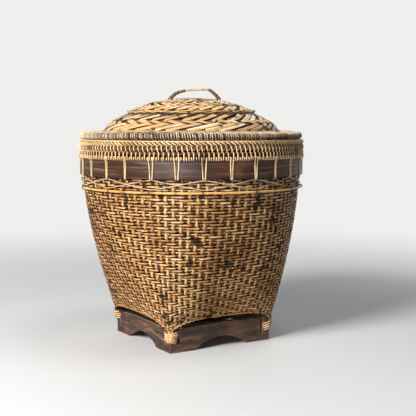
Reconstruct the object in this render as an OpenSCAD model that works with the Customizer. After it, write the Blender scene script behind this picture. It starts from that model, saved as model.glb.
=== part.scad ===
// Lidded rice basket: a round-mouthed, square-based woven body lashed to a four-board
// wooden stand, with a dark bent-wood band under the rim and a domed lift-off lid.
// Millimetres, +Z up. The origin is on the floor at the middle of the stand.

/* [Stand] */
// Outer side of the square stand
stand_w = 182; // [150:1:220]
// Thickness of the stand boards
board_t = 11; // [8:0.5:14]
// Height of a board at its ends
board_h = 35; // [28:1:45]
// Rise of a board's top edge at its middle
board_crown = 3.5; // [1:0.5:9]
// Width of the arch cut out of each board
arch_w = 94; // [60:1:110]
// Height of the arch cut out of each board
arch_h = 17; // [8:1:20]
// Diameter of the pegs that pin the mitred corners
peg_d = 3; // [2:0.5:4]
// Height of the pegs above the floor
peg_z = 23; // [20:0.5:26]
// Distance from the stand's corner to the head of a peg
peg_inset = 4.5; // [4:0.5:5.5]

/* [Woven body] */
// Outer radius of the woven wall at the mouth
mouth_r = 174; // [160:1:190]
// Height of the wall's top edge above the floor
wall_top = 313; // [300:1:340]
// Thickness of the woven wall and floor
wall_t = 5; // [4:0.5:6]
// How far the woven base stands out past the stand
base_overhang = 4; // [-3:0.5:7]
// Rounding of the base's corners, as the cut across each corner
corner_cut = 3; // [2:0.5:12]
// Rise of the base's edge between its corners
base_arch = 16; // [8:0.5:20]
// Rise of the middle of the base above its edges
base_dome = 3; // [0:0.5:6]
// Roundness of the wall's profile: 1 is straight, 2 is full
belly = 1.6; // [1:0.05:2]
// Depth of the weave's relief on the wall
weave_relief = 2; // [0:0.1:2.4]
// Rows of the weave's relief from the base to the waist
weave_rows = 13; // [6:1:14]

/* [Rim and border] */
// Diameter of the cane hoop inside the rim
rim_core_d = 4.4; // [3:0.2:5]
// Thickness of the plaited edging over the rim
edging_t = 2.1; // [1.5:0.1:3]
// Extra width of the edging across the wall
edging_spread = 2.4; // [1:0.2:4]
// Diameter of the cane hoops of the border
border_hoop_d = 4.4; // [3.5:0.1:5]

/* [Wood band] */
// Height of the dark wooden band
band_h = 25.5; // [20:0.5:35]
// Thickness of the dark wooden band
band_t = 3; // [2:0.25:4]
// Distance from the band's top edge to the wall's top edge
band_drop = 20.5; // [18:0.5:26]
// Height of the hoop inside the wall
inner_band_h = 20; // [12:1:24]
// Thickness of the hoop inside the wall
inner_band_t = 3; // [2:0.25:4]
// Number of cane lashings over the band
lashings = 28; // [12:4:36]
// Turn of the first lashing from +X
lashing_turn = 14.5; // [0:0.5:30]
// Width of a lashing strand
lashing_w = 2.4; // [1.6:0.1:3]
// Thickness of a lashing strand
lashing_t = 1.2; // [0.8:0.1:1.6]
// Distance between the two strands of a lashing
lashing_pitch = 4; // [3.4:0.1:6]

/* [Waist hoop and cross lashing] */
// Distance from the band's bottom edge to the waist hoop
waist_drop = 20.2; // [14:0.2:26]
// Diameter of the waist hoop
waist_d = 3.8; // [3:0.2:5]
// Diameter of the crossing strands
strand_d = 2; // [1.4:0.1:2.4]
// Peaks of each crossing strand
strand_peaks = 7; // [4:1:10]
// Diameter of the ties round the waist hoop
tie_d = 1.6; // [1:0.1:2]

/* [Corner lashings] */
// Diameter of the corner lashing's cane
corner_d = 2.9; // [1.8:0.1:3.2]
// Turns of each corner lashing
corner_turns = 5; // [3:1:6]
// Gap between the turns of a corner lashing
corner_gap = 0.5; // [0.45:0.05:0.8]
// Distance of the lashing slot behind the board's inner face
slot_inset = 4; // [3.5:0.5:8]

/* [Lid] */
// How far the lid is turned on the rim
lid_turn = -30; // [-180:1:180]
// Diameter of the wrapped roll round the lid's edge
roll_d = 10.6; // [8:0.2:13]
// Diameter of the cane hoop inside the roll
roll_core_d = 6; // [4:0.2:6.6]
// How far the roll's outer edge lies inside the rim's outer edge
roll_inset = 2.4; // [1:0.2:5]
// Width of the flat flange that shows round the dome's foot
flange_w = 27.8; // [22:0.2:40]
// Height of the dome's lower tier
skirt_h = 33; // [24:1:42]
// Radius where the lower tier ends under the crown
skirt_top_r = 88; // [70:1:92]
// Thickness of the lower tier
skirt_t = 4; // [3:0.5:5]
// Roundness of the lower tier's profile: 1 is a cone, less is fuller
skirt_round = 0.5; // [0.45:0.05:0.7]
// Strips in the lower tier's plait
plait_strips = 36; // [24:2:40]
// Depth of the plait's relief
plait_relief = 1.6; // [0:0.1:1.8]
// Thickness of the flat flange under the dome
flange_t = 6; // [4:0.5:7]
// How far the flange reaches in under the dome
flange_lap = 6; // [4:0.5:12]
// Diameter of the cane round the dome's foot
binding_d = 3; // [2:0.2:4]
// Radius of the crown that caps the dome
crown_r = 99; // [96:1:104]
// Diameter of the cane round the crown's edge
crown_edging_d = 3.4; // [2.4:0.2:4]
// Rise of the crown from its edge to its top
crown_h = 21; // [18:1:30]
// Thickness of the crown
crown_t = 3.2; // [2.4:0.2:4]
// Depth that the locating collar reaches into the mouth
collar_depth = 12; // [8:1:16]
// Thickness of the locating collar
collar_t = 4; // [3:0.5:5]
// Clearance of the collar in the mouth
collar_gap = 1.3; // [0.8:0.1:3]

/* [Handle] */
// Distance between the feet of the bail where they enter the crown
bail_w = 77; // [66:1:90]
// Height of the bail's top above its feet
bail_h = 16; // [14:1:24]
// Slope of the bail's legs
bail_lean = 43; // [38:1:60]
// Radius of the bends between the legs and the top
bail_bend = 11; // [5:0.5:13]
// Diameter of the bail's cane
bail_d = 3.4; // [2.6:0.1:4]
// How far the bail lies off the lid's middle
bail_shift = 5; // [0:0.5:8]
// Diameter of the wrapping cane
wrap_d = 1.8; // [1.2:0.1:2]
// Most turns of cane on each leg of the bail
wrap_most = 6; // [3:1:6]
// Diameter of the stopper knots under the crown
knot_d = 9; // [7:0.5:11]

/* [Hidden] */
// Gap between pieces that are bound or laid together
seat = 0.3;
// Radial clearance of a peg or foot in its hole
hole_gap = 0.05;
// Gap left where the wooden band's two ends meet
splice_gap = 0.6;
// Slope of the scarf joint where the band's ends meet
splice_angle = 60;
$fn = 96;

// Steps of the woven shell round its mouth, up its wall and across its floor
body_steps = 64;
wall_steps = 12;
floor_steps = 3;
rim_steps = 4;
// How far the steps bunch towards the corners
body_bunch = 0.4;

// Heights of the stacked pieces
base_half = stand_w / 2 + base_overhang;
base_diag = base_half * sqrt(2) - corner_cut;
// Where the base stands out past the stand, its corners hang a little below the boards' tops
base_drop = (base_arch + base_dome) * max(0, 1 - pow(stand_w / sqrt(2) / base_diag, 2));
base_z = board_h + seat - base_drop;
band_top = wall_top - band_drop;
band_bottom = band_top - band_h;
waist_z = band_bottom - waist_drop;
edging_r = rim_core_d / 2 + hole_gap + edging_t;
rim_z = wall_top + seat + edging_r;
rim_top = rim_z + edging_r;
roll_r = roll_d / 2;
roll_z = rim_top + seat + roll_r;
flange_top = roll_z + roll_r - seat;
skirt_z = flange_top + seat;

// Radii of the hoops and rings
border_r = mouth_r + seat + border_hoop_d / 2;
rim_outer = border_r + border_hoop_d / 2 + 1.4;
rim_mid = rim_outer - edging_r - edging_spread / 2;
rim_inner = rim_mid - edging_r - edging_spread / 2;
roll_mid = rim_outer - roll_inset - roll_r;
flange_outer = roll_mid - roll_r - seat;
skirt_r = flange_outer - flange_w;
collar_outer = min(rim_inner - collar_gap, mouth_r - wall_t - collar_gap, flange_outer);
wall_flat = mouth_r * (1 - cos(180 / body_steps * (1 + body_bunch)));
inner_band_r = mouth_r - wall_t - wall_flat - seat;

// Profile of the woven wall
function swell(v) = 1 - pow(1 - v, belly);
function rise(z) = min(1, max(0, (z - base_z) / (band_bottom - base_z)));
function wall_mid(z) = base_half + (mouth_r - base_half) * swell(rise(z));
function wall_diag(z) = base_diag + (mouth_r - base_diag) * swell(rise(z));
function power(z) = 1 / (0.5 - ln(wall_diag(z) / wall_mid(z)) / ln(2));
function wall_r(a, z) =
  wall_mid(z) / pow(pow(abs(cos(a)), power(z)) + pow(abs(sin(a)), power(z)), 1 / power(z));
function cornerness(a) = (wall_r(a, base_z) - base_half) / (base_diag - base_half);
function edge_z(a) = base_z + base_arch * (1 - pow(cornerness(a), 2));

// Small vector helpers
function unit(v) = v / norm(v);
function polar(r, a, z) = [r * cos(a), r * sin(a), z];
function squared(a, n) = pow(pow(abs(cos(a)), n) + pow(abs(sin(a)), n), -1 / n);
function tangent(p, k, loop) =
  let (n = len(p))
  unit(loop ? p[(k + 1) % n] - p[(k + n - 1) % n] : p[min(k + 1, n - 1)] - p[max(k - 1, 0)]);
function frame(t, ref) = let (n = unit(ref - (ref * t) * t)) [n, cross(t, n)];

// Least gap between points of a winding that lie at least half a turn apart
function winding_gap(p, per_turn, d) =
  min([for (i = [0:len(p) - 1], j = [i + per_turn / 2:1:len(p) - 1]) norm(p[i] - p[j])]) - d;

// A round strand along points p, with refs giving a direction across the strand at each
module strand(p, refs, d, sides, loop = false) {
  n = len(p);
  rings = [
    for (k = [0:n - 1])
      let (t = tangent(p, k, loop), f = frame(t, refs[k]))
      for (s = [0:sides - 1]) p[k] + d / 2 * (cos(360 * s / sides) * f[0] + sin(360 * s / sides) * f[1])
  ];
  skin = [
    for (k = [0:loop ? n - 1 : n - 2], s = [0:sides - 1])
      let (a = k * sides, b = ((k + 1) % n) * sides, s2 = (s + 1) % sides)
      for (f = [[a + s, b + s, b + s2], [a + s, b + s2, a + s2]]) f
  ];
  caps = loop ? [] : [
    for (s = [1:sides - 2]) [0, s, s + 1],
    for (s = [1:sides - 2]) [(n - 1) * sides, (n - 1) * sides + s + 1, (n - 1) * sides + s]
  ];
  polyhedron(rings, concat(skin, caps), convexity = 8);
}

// A closed shell through rings of points, the last ring joined to the first
module ring_shell(rings) {
  n = len(rings);
  m = len(rings[0]);
  faces = [
    for (k = [0:n - 1], s = [0:m - 1])
      let (a = k * m, b = ((k + 1) % n) * m, s2 = (s + 1) % m)
      for (f = [[a + s, b + s, b + s2], [a + s, b + s2, a + s2]]) f
  ];
  polyhedron([for (r = rings, p = r) p], faces, convexity = 8);
}

// A hoop of round cane
module hoop(r, z, d) {
  translate([0, 0, z]) rotate_extrude() translate([r, 0]) circle(d = d, $fn = 32);
}

// A flat ring with square edges
module flat_ring(inner, outer, z0, z1) {
  rotate_extrude() translate([inner, z0]) square([outer - inner, z1 - z0]);
}

// Woven body: one shell lofted from the square base to the round mouth
function body_angle(k) = let (t = 360 * k / body_steps) t + body_bunch * sin(4 * t) * 45 / PI;
function wall_level(k) = pow(k / wall_steps, 1.15);
function wall_z(a, k, lift) = edge_z(a) + lift + (wall_top - edge_z(a) - lift) * wall_level(k);
function wall_ring(k, inset) = [
  for (s = [0:body_steps - 1])
    let (a = body_angle(s), z = wall_z(a, k, inset)) polar(wall_r(a, z) - inset, a, z)
];
// The outside is raised and sunk by turns, as the strands are, from the base up to the waist
weave_share = (waist_z - 2 * waist_d - base_z) / (wall_top - base_z);
function weave_level(k) =
  let (over = k - 2 * weave_rows)
  over <= 0 ? weave_share * k / (2 * weave_rows) : weave_share + (1 - weave_share) * over / rim_steps;
function weave_ring(k) = [
  for (s = [0:body_steps - 1])
    let (
      a = body_angle(s), z = edge_z(a) + (wall_top - edge_z(a)) * weave_level(k),
      sunk = k > 0 && k < 2 * weave_rows && (k + s) % 2 == 1 ? weave_relief : 0
    )
    polar(wall_r(a, z) - sunk, a, z)
];
function floor_ring(k, inset) = [
  for (s = [0:body_steps - 1])
    let (
      a = body_angle(s), share = k / floor_steps, z = edge_z(a) + inset,
      middle = base_z + base_arch + base_dome + inset
    )
    polar((wall_r(a, z) - inset) * share, a, middle + (z - middle) * share * share)
];
module woven_body() {
  middle_z = base_z + base_arch + base_dome;
  rings = concat(
    [for (k = [1:floor_steps - 1]) floor_ring(k, 0)],
    [for (k = [0:2 * weave_rows + rim_steps]) weave_ring(k)],
    [for (k = [wall_steps:-1:0]) wall_ring(k, wall_t)],
    [for (k = [floor_steps - 1:-1:1]) floor_ring(k, wall_t)]
  );
  count = len(rings);
  points = concat([[0, 0, middle_z]], [for (r = rings, p = r) p], [[0, 0, middle_z + wall_t]]);
  last = count * body_steps + 1;
  faces = concat(
    [for (s = [0:body_steps - 1]) [0, 1 + s, 1 + (s + 1) % body_steps]],
    [
      for (k = [0:count - 2], s = [0:body_steps - 1])
        let (a = 1 + k * body_steps, b = a + body_steps, s2 = (s + 1) % body_steps)
        for (f = [[a + s, b + s, b + s2], [a + s, b + s2, a + s2]]) f
    ],
    [
      for (s = [0:body_steps - 1])
        let (a = 1 + (count - 1) * body_steps) [last, a + (s + 1) % body_steps, a + s]
    ]
  );
  color("peru") polyhedron(points, faces, convexity = 8);
}

// Split-cane hoop inside the wall, behind the wooden band
module inner_band() {
  middle = (band_top + band_bottom) / 2;
  half = inner_band_h / 2;
  color("burlywood") flat_ring(inner_band_r - inner_band_t, inner_band_r, middle - half, middle + half);
}

// Cane hoop laid along the wall's top edge
module rim_core() {
  color("burlywood") hoop(rim_mid, rim_z, rim_core_d);
}

// Plaited edging that covers the rim's core, the wall's edge and the border
module rim_edging() {
  color("tan") translate([0, 0, rim_z]) rotate_extrude() difference() {
    union() {
      for (side = [-1, 1]) translate([rim_mid + side * edging_spread / 2, 0]) circle(r = edging_r, $fn = 32);
      translate([rim_mid - edging_spread / 2, -edging_r]) square([edging_spread, 2 * edging_r]);
    }
    translate([rim_mid, 0]) circle(d = rim_core_d + 2 * hole_gap, $fn = 32);
  }
}

// Border hoops, stacked between the wooden band and the edging
border_room = rim_z - edging_r - band_top;
function border_z(k) = band_top + border_room * (k + 0.5) / 3;
module border_hoop(k) {
  color("peru") hoop(border_r, border_z(k), border_hoop_d);
}

// Dark bent-wood band with a scarf joint where its ends meet, at the back
module wood_band() {
  inner = mouth_r + seat;
  color("saddlebrown") difference() {
    flat_ring(inner, inner + band_t, band_bottom, band_top);
    translate([0, inner + band_t / 2, (band_top + band_bottom) / 2]) rotate([0, splice_angle, 0])
      cube([2 * band_h, 4 * band_t, splice_gap], center = true);
  }
}

// One flat strand bent over the wooden band, its ends turned in to the wall
module lashing_strand() {
  reach = mouth_r + seat;
  face = reach + band_t + seat;
  top = min(band_top + seat + lashing_t, border_z(0) - border_hoop_d / 2 - seat);
  rotate([90, 0, 0]) linear_extrude(lashing_w, center = true) polygon([
    [reach, band_bottom - seat], [reach, band_bottom - seat - lashing_t],
    [face, band_bottom - seat - lashing_t], [face + lashing_t, band_bottom],
    [face + lashing_t, top - lashing_t], [face, top], [face, band_bottom - seat]
  ]);
}

// Pairs of strands all round the wooden band
module band_lashings() {
  offset_a = lashing_pitch / 2 / (mouth_r + band_t) * 180 / PI;
  color("wheat") for (k = [0:lashings - 1], side = [-1, 1])
    rotate([0, 0, lashing_turn + 360 * k / lashings + side * offset_a]) lashing_strand();
}

// Crossing strands between the band and the waist hoop
strand_steps = 10;
strand_top = band_bottom - seat - lashing_t - seat - strand_d;
strand_low = waist_z + waist_d / 2 + tie_d + 2 * seat + strand_d / 2;
function zigzag(k) = let (t = k / strand_steps, u = t - floor(t)) floor(t) % 2 == 0 ? u : 1 - u;
function strand_point(k, side) =
  let (
    a = lashing_turn + 180 / strand_peaks * k / strand_steps,
    share = side > 0 ? zigzag(k) : 1 - zigzag(k),
    z = strand_low + (strand_top - strand_low) * share,
    over = floor(k / strand_steps) % 2 == 0 ? side : -side,
    clear = strand_d / 2 + seat + (over > 0 ? (strand_d + seat) * sin(180 * zigzag(k)) : 0)
  )
  polar(max(wall_r(a, z), wall_r(a, z + strand_d)) + clear, a, z);
module cross_lashing(side) {
  count = 2 * strand_peaks * strand_steps;
  p = [for (k = [0:count - 1]) strand_point(k, side)];
  color("tan") strand(p, [for (q = p) [q[0], q[1], 0]], strand_d, 6, loop = true);
}

// Cane hoop round the waist
waist_r = wall_diag(waist_z + waist_d / 2) + seat + waist_d / 2;
module waist_hoop() {
  color("goldenrod") hoop(waist_r, waist_z, waist_d);
}

// Ties that hook the crossing strands round the waist hoop
module waist_ties() {
  ring_r = waist_d / 2 + hole_gap + tie_d / 2;
  color("wheat") for (k = [0:2 * strand_peaks - 1])
    rotate([0, 0, lashing_turn + 180 / strand_peaks * k]) translate([waist_r, 0, waist_z])
      rotate([90, 0, 0]) rotate([0, 0, -80]) rotate_extrude(angle = 160)
        translate([ring_r, 0]) circle(d = tie_d, $fn = 24);
}

// One stand board along +X, its outer face at y = 0 and its inner face at y = board_t
slot_u = board_t + slot_inset;
slot_w = corner_d + 1;
corner_pitch = corner_d + corner_gap;
winding_top = board_h - corner_d / 2 - seat - base_drop;
winding_bottom = winding_top - corner_turns * corner_pitch;
module stand_board_blank() {
  top_r = (stand_w * stand_w / 4 + board_crown * board_crown) / (2 * board_crown);
  arch_r = (arch_w * arch_w / 4 + arch_h * arch_h) / (2 * arch_h);
  slot_h = board_h + board_crown;
  difference() {
    linear_extrude(board_h + board_crown) polygon([
      [-stand_w / 2, 0], [stand_w / 2, 0], [stand_w / 2 - board_t, board_t], [-stand_w / 2 + board_t, board_t]
    ]);
    translate([0, board_t / 2, 0]) rotate([90, 0, 0]) linear_extrude(2 * board_t, center = true)
      difference() {
        translate([-stand_w, board_h - seat]) square([2 * stand_w, 2 * board_crown + seat]);
        translate([0, board_h + board_crown - top_r]) circle(r = top_r, $fn = 256);
      }
    translate([0, board_t / 2, arch_h - arch_r]) rotate([90, 0, 0])
      cylinder(r = arch_r, h = 2 * board_t, center = true);
    for (side = [-1, 1]) translate([side * (stand_w / 2 - slot_u), board_t / 2, winding_bottom - corner_d])
      translate([-slot_w / 2, -board_t, 0]) cube([slot_w, 2 * board_t, slot_h]);
    for (side = [-1, 1]) peg_place(side) cylinder(d = peg_d + 2 * hole_gap, h = peg_length() + hole_gap);
  }
}

// A peg starts in one board's face and crosses the mitre into the next board
function peg_length() = slot_u - slot_w / 2 - 1;
module peg_place(side) {
  if (side > 0) translate([stand_w / 2 - peg_inset, -hole_gap, peg_z]) rotate([-90, 0, 0]) children();
  else translate([-stand_w / 2 - hole_gap, peg_inset, peg_z]) rotate([0, 90, 0]) children();
}
module stand_side(k) {
  rotate([0, 0, 90 * k]) translate([0, -stand_w / 2, 0]) children();
}
module stand_board(k) {
  color("saddlebrown") stand_side(k) stand_board_blank();
}
module stand_pegs() {
  color("sienna") for (k = [0:3]) stand_side(k) peg_place(1)
    translate([0, 0, hole_gap]) cylinder(d = peg_d, h = peg_length() - hole_gap);
}

// Square winding of cane through the slots on either side of a corner of the stand
corner_rings = 16;
corner_off = corner_d / 2 + seat;
function corner_point(k) =
  let (
    a = 360 * k / corner_rings + 45, half = (slot_u + corner_off) / 2, middle = (slot_u - corner_off) / 2,
    r = half * squared(a, 16)
  )
  [middle + r * cos(a), middle + r * sin(a), winding_bottom + corner_pitch * k / corner_rings];
corner_path = [for (k = [0:corner_turns * corner_rings]) corner_point(k)];
module corner_lashing(k) {
  echo(str("corner lashing gap ", winding_gap(corner_path, corner_rings, corner_d)));
  color("burlywood") rotate([0, 0, 90 * k]) translate([-stand_w / 2, -stand_w / 2, 0])
    strand(corner_path, [for (p = corner_path) [0, 0, 1]], corner_d, 6);
}

// Everything on the lid turns with it
module on_lid() {
  rotate([0, 0, lid_turn]) children();
}

// Cane hoop inside the lid's roll
module lid_rim_core() {
  color("burlywood") on_lid() hoop(roll_mid, roll_z, roll_core_d);
}

// Wrapped roll round the lid's edge
module lid_rim_wrap() {
  color("dimgray") on_lid() translate([0, 0, roll_z]) rotate_extrude() translate([roll_mid, 0]) difference() {
    circle(r = roll_r, $fn = 32);
    circle(d = roll_core_d + 2 * hole_gap, $fn = 32);
  }
}

// Flat flange between the roll and the dome
module lid_flange() {
  color("gray") on_lid() flat_ring(skirt_r - flange_lap, flange_outer, flange_top - flange_t, flange_top);
}

// Collar under the flange that drops into the mouth
module lid_collar() {
  color("burlywood") on_lid()
    flat_ring(collar_outer - collar_t, collar_outer, rim_top - collar_depth, flange_top - flange_t - seat);
}

// Lower tier of the dome, an open-topped shell whose ridges lean to and fro as the plaited strips do
plait_rows = 6;
plait_leans = [0, 5, 5.6, -7.2, 6.9, 8.9, 11.8];
function plait_turn(k) = k == 0 ? 0 : plait_turn(k - 1) + plait_leans[k];
function skirt_share(r) = (skirt_r - r) / (skirt_r - skirt_top_r);
function skirt_rise(r) = skirt_z + skirt_h * pow(skirt_share(r), skirt_round);
function skirt_slope(r) = skirt_h * skirt_round / (skirt_r - skirt_top_r) * pow(skirt_share(r), skirt_round - 1);
function skirt_step(k) = skirt_r - (skirt_r - skirt_top_r) * pow(k / plait_rows, 1.8);
function plait_angle(k, s) = 180 * s / plait_strips + plait_turn(k);
function skirt_outer(k) =
  let (r = skirt_step(k), ridged = k > 0 && k < plait_rows, out = ridged ? unit([skirt_slope(r), 1]) : [0, 0])
  [
    for (s = [0:2 * plait_strips - 1])
      let (sunk = plait_relief * (s % 2) * out) polar(r - sunk[0], plait_angle(k, s), skirt_rise(r) - sunk[1])
  ];
function skirt_inner(k) =
  let (r = skirt_step(k), z = max(skirt_z, skirt_rise(r) - skirt_t * k / plait_rows))
  [for (s = [0:2 * plait_strips - 1]) polar(r - skirt_t, plait_angle(k, s), z)];
module lid_skirt() {
  color("burlywood") on_lid() ring_shell(
    concat([for (k = [0:plait_rows]) skirt_outer(k)], [for (k = [plait_rows:-2:0]) skirt_inner(k)])
  );
}

// Cane laid round the dome's foot, on the flange
module skirt_binding() {
  color("tan") on_lid() hoop(skirt_r + seat + binding_d / 2, flange_top + seat + binding_d / 2, binding_d);
}

// Crown that caps the dome and laps over the lower tier
profile_steps = 12;
crown_edge = skirt_rise(crown_r) + seat;
function crown_z(r) = crown_edge + crown_t + crown_h * (1 - pow(r / crown_r, 2.4));
bail_foot = crown_z(bail_w / 2);
module lid_crown() {
  outer = [for (k = [0:profile_steps]) [crown_r * k / profile_steps, crown_z(crown_r * k / profile_steps)]];
  inner = [for (p = [profile_steps:-1:0]) outer[p] - [0, crown_t]];
  color("burlywood") on_lid() difference() {
    rotate_extrude() polygon(concat(outer, inner));
    bail_feet() cylinder(d = bail_d + 2 * seat, h = 8 * crown_t, center = true);
  }
}

// Cane laid round the crown's edge
module crown_edging() {
  half = crown_edging_d / 2;
  color("tan") on_lid() hoop(crown_r + seat + half, crown_edge + half, crown_edging_d);
}

// Bail handle: two sloping legs, whose feet pass through the crown, and a flat top
bail_turn = bail_bend * tan(bail_lean / 2);
bail_leg = bail_h / sin(bail_lean) - bail_turn;
knot_sink = crown_z(bail_w / 2) - crown_z(bail_shift + bail_w / 2 + 1.5 * knot_d);
knot_drop = (crown_t + 2 * seat + knot_d / 2 + knot_sink) / sin(bail_lean);
bail_tail = knot_drop + knot_d / 2 + 1;
bend_steps = 6;
module bail_feet() {
  for (side = [0, 1]) translate([bail_shift, 0, bail_foot]) mirror([side, 0, 0])
    translate([bail_w / 2, 0, 0]) rotate([0, bail_lean - 90, 0]) children();
}
function leg_point(s) = [bail_w / 2 - s * cos(bail_lean), 0, s * sin(bail_lean)];
function bend_point(k) =
  let (a = bail_lean * (1 - k / bend_steps), middle = bail_w / 2 - bail_h / tan(bail_lean) - bail_turn)
  [middle + bail_bend * sin(a), 0, bail_h - bail_bend * (1 - cos(a))];
module handle_bail() {
  half = concat([leg_point(-bail_tail)], [for (k = [0:bend_steps]) bend_point(k)]);
  path = concat(half, [for (k = [len(half) - 1:-1:0]) [-half[k][0], 0, half[k][2]]]);
  color("tan") on_lid() translate([bail_shift, 0, bail_foot])
    strand(path, [for (p = path) [0, 1, 0]], bail_d, 12);
}

// Cane wound round one leg of the bail, from just above the crown to the bend
wrap_rings = 12;
wrap_r = bail_d / 2 + seat + wrap_d / 2;
wrap_start = ((wrap_r + wrap_d / 2) * cos(bail_lean) + 3 * seat) / sin(bail_lean);
wrap_room = bail_leg - wrap_start - wrap_d / 2;
wrap_turns = min(wrap_most, floor(wrap_room / (wrap_d + 0.45)));
wrap_across = [sin(bail_lean), 0, cos(bail_lean)];
function wrap_out(k) = cos(360 * k / wrap_rings) * wrap_across + sin(360 * k / wrap_rings) * [0, 1, 0];
wrap_steps = wrap_turns * wrap_rings;
function wrap_point(k) = leg_point(wrap_start + wrap_room * k / wrap_steps) + wrap_r * wrap_out(k);
wrap_path = [for (k = [0:wrap_steps]) wrap_point(k)];
module handle_wrap(side) {
  echo(str("handle wrap gap ", winding_gap(wrap_path, wrap_rings, wrap_d)));
  color("sienna") on_lid() translate([bail_shift, 0, bail_foot]) mirror([side > 0 ? 0 : 1, 0, 0])
    strand(wrap_path, [for (k = [0:wrap_steps]) wrap_out(k)], wrap_d, 6);
}

// Stopper knots under the crown that hold the bail's feet
module handle_knots() {
  color("tan") on_lid() bail_feet() translate([0, 0, -knot_drop]) difference() {
    sphere(d = knot_d, $fn = 32);
    cylinder(d = bail_d + 2 * hole_gap, h = 2 * knot_d, center = true);
  }
}

woven_body();
inner_band();
rim_core();
rim_edging();
border_hoop(0);  // border_hoop_lower
border_hoop(1);  // border_hoop_middle
border_hoop(2);  // border_hoop_upper
wood_band();
band_lashings();
cross_lashing(1);  // cross_lashing_outer
cross_lashing(-1);  // cross_lashing_inner
waist_hoop();
waist_ties();
stand_board(0);  // stand_board_front
stand_board(1);  // stand_board_right
stand_board(2);  // stand_board_back
stand_board(3);  // stand_board_left
stand_pegs();
corner_lashing(0);  // corner_lashing_front_left
corner_lashing(1);  // corner_lashing_front_right
corner_lashing(2);  // corner_lashing_back_right
corner_lashing(3);  // corner_lashing_back_left
lid_rim_core();
lid_rim_wrap();
lid_flange();
lid_collar();
lid_skirt();
skirt_binding();
lid_crown();
crown_edging();
handle_bail();
handle_wrap(-1);  // handle_wrap_left
handle_wrap(1);  // handle_wrap_right
handle_knots();
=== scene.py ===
"""Lidded rattan basket on a wooden stand: weaving, bindings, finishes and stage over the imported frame."""

import math

import bmesh
import bpy
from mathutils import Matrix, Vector


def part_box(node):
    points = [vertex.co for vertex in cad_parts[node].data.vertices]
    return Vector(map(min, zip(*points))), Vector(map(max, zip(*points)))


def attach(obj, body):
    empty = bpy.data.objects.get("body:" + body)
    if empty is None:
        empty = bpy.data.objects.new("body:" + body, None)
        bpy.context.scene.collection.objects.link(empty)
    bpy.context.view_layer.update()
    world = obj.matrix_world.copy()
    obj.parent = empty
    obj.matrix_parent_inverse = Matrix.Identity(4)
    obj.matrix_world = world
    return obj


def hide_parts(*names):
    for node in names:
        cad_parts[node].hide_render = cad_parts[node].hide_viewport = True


bl_info = {
    "name": "Lidded rattan basket",
    "version": (1, 0, 0),
    "blender": (4, 5, 0),
    "location": "3D View > Sidebar > Basket",
    "description": "Weaves, binds and finishes a lidded rattan basket on its wooden stand",
    "category": "Object",
}

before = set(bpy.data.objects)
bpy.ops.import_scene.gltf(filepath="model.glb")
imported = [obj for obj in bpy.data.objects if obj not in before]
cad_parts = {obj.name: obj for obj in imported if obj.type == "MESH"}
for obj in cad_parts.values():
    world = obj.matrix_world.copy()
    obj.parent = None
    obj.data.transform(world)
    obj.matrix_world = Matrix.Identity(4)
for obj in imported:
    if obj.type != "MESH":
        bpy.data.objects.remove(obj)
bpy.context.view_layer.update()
WALL_LOW, WALL_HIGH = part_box("woven_body")
BAND_LOW, BAND_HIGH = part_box("wood_band")
WAIST_LOW, WAIST_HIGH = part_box("waist_hoop")
EDGING_LOW, EDGING_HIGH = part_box("rim_edging")
ROLL_LOW, ROLL_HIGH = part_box("lid_rim_wrap")
SKIRT_LOW, SKIRT_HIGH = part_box("lid_skirt")
CROWN_LOW, CROWN_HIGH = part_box("lid_crown")
FLANGE_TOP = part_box("lid_flange")[1].z
BOARD_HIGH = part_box("stand_board_front")[1]
MM = 0.001
TURN = 2 * math.pi
QUARTER = math.pi / 2
DIAGONAL = math.sqrt(0.5)
LID_TURN = math.radians(-30)
LASHING_TURN = math.radians(14.5)


def length(name, description, value):
    return bpy.props.FloatProperty(
        name=name, description=description, default=value, min=0.0, unit="LENGTH", subtype="DISTANCE", precision=5
    )


def number(name, description, value):
    return bpy.props.IntProperty(name=name, description=description, default=value, min=1)


def paint(name, description, value):
    return bpy.props.FloatVectorProperty(
        name=name, description=description, default=value, size=3, min=0.0, max=1.0, subtype="COLOR"
    )


class BasketSizes(bpy.types.PropertyGroup):
    """Sizes of the weave and of the bindings"""

    mouth_radius: length("Mouth radius", "Outside radius of the wall at the mouth", WALL_HIGH.x)
    base_half: length("Base half width", "Half the width of the square base", BOARD_HIGH.x + 0.004)
    base_height: length("Base height", "Height of the base's corners above the floor", WALL_LOW.z)
    base_arch: length("Base arch", "Rise of the base's edge between two corners", 0.016)
    base_dome: length("Base dome", "Further rise of the middle of the base", 0.003)
    corner_cut: length("Corner cut", "How far the base's corners are drawn in", 0.003)
    warps_per_side: number("Stakes per side", "Upright strips on each side of the square", 22)
    weft_rows: number("Rows", "Rows of weaving from the base to the rim", 60)
    weft_width: length("Weaver width", "Width of a weaving strand", 0.0041)
    weft_thickness: length("Weaver thickness", "Thickness of a weaving strand", 0.0021)
    warp_width: length("Stake width", "Width of an upright strip", 0.0052)
    warp_thickness: length("Stake thickness", "Thickness of an upright strip", 0.0014)
    border_loops: number("Border loops", "Cane loops round the openwork border", 156)
    roll_wraps: number("Roll wraps", "Pairs of light wraps round the edge of the lid", 140)
    lashings: number("Lashings", "Pairs of cane strands over the wooden band", 28)
    plait_strips: number("Plait strips", "Strips that lean each way in a tier of the lid", 32)


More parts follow.
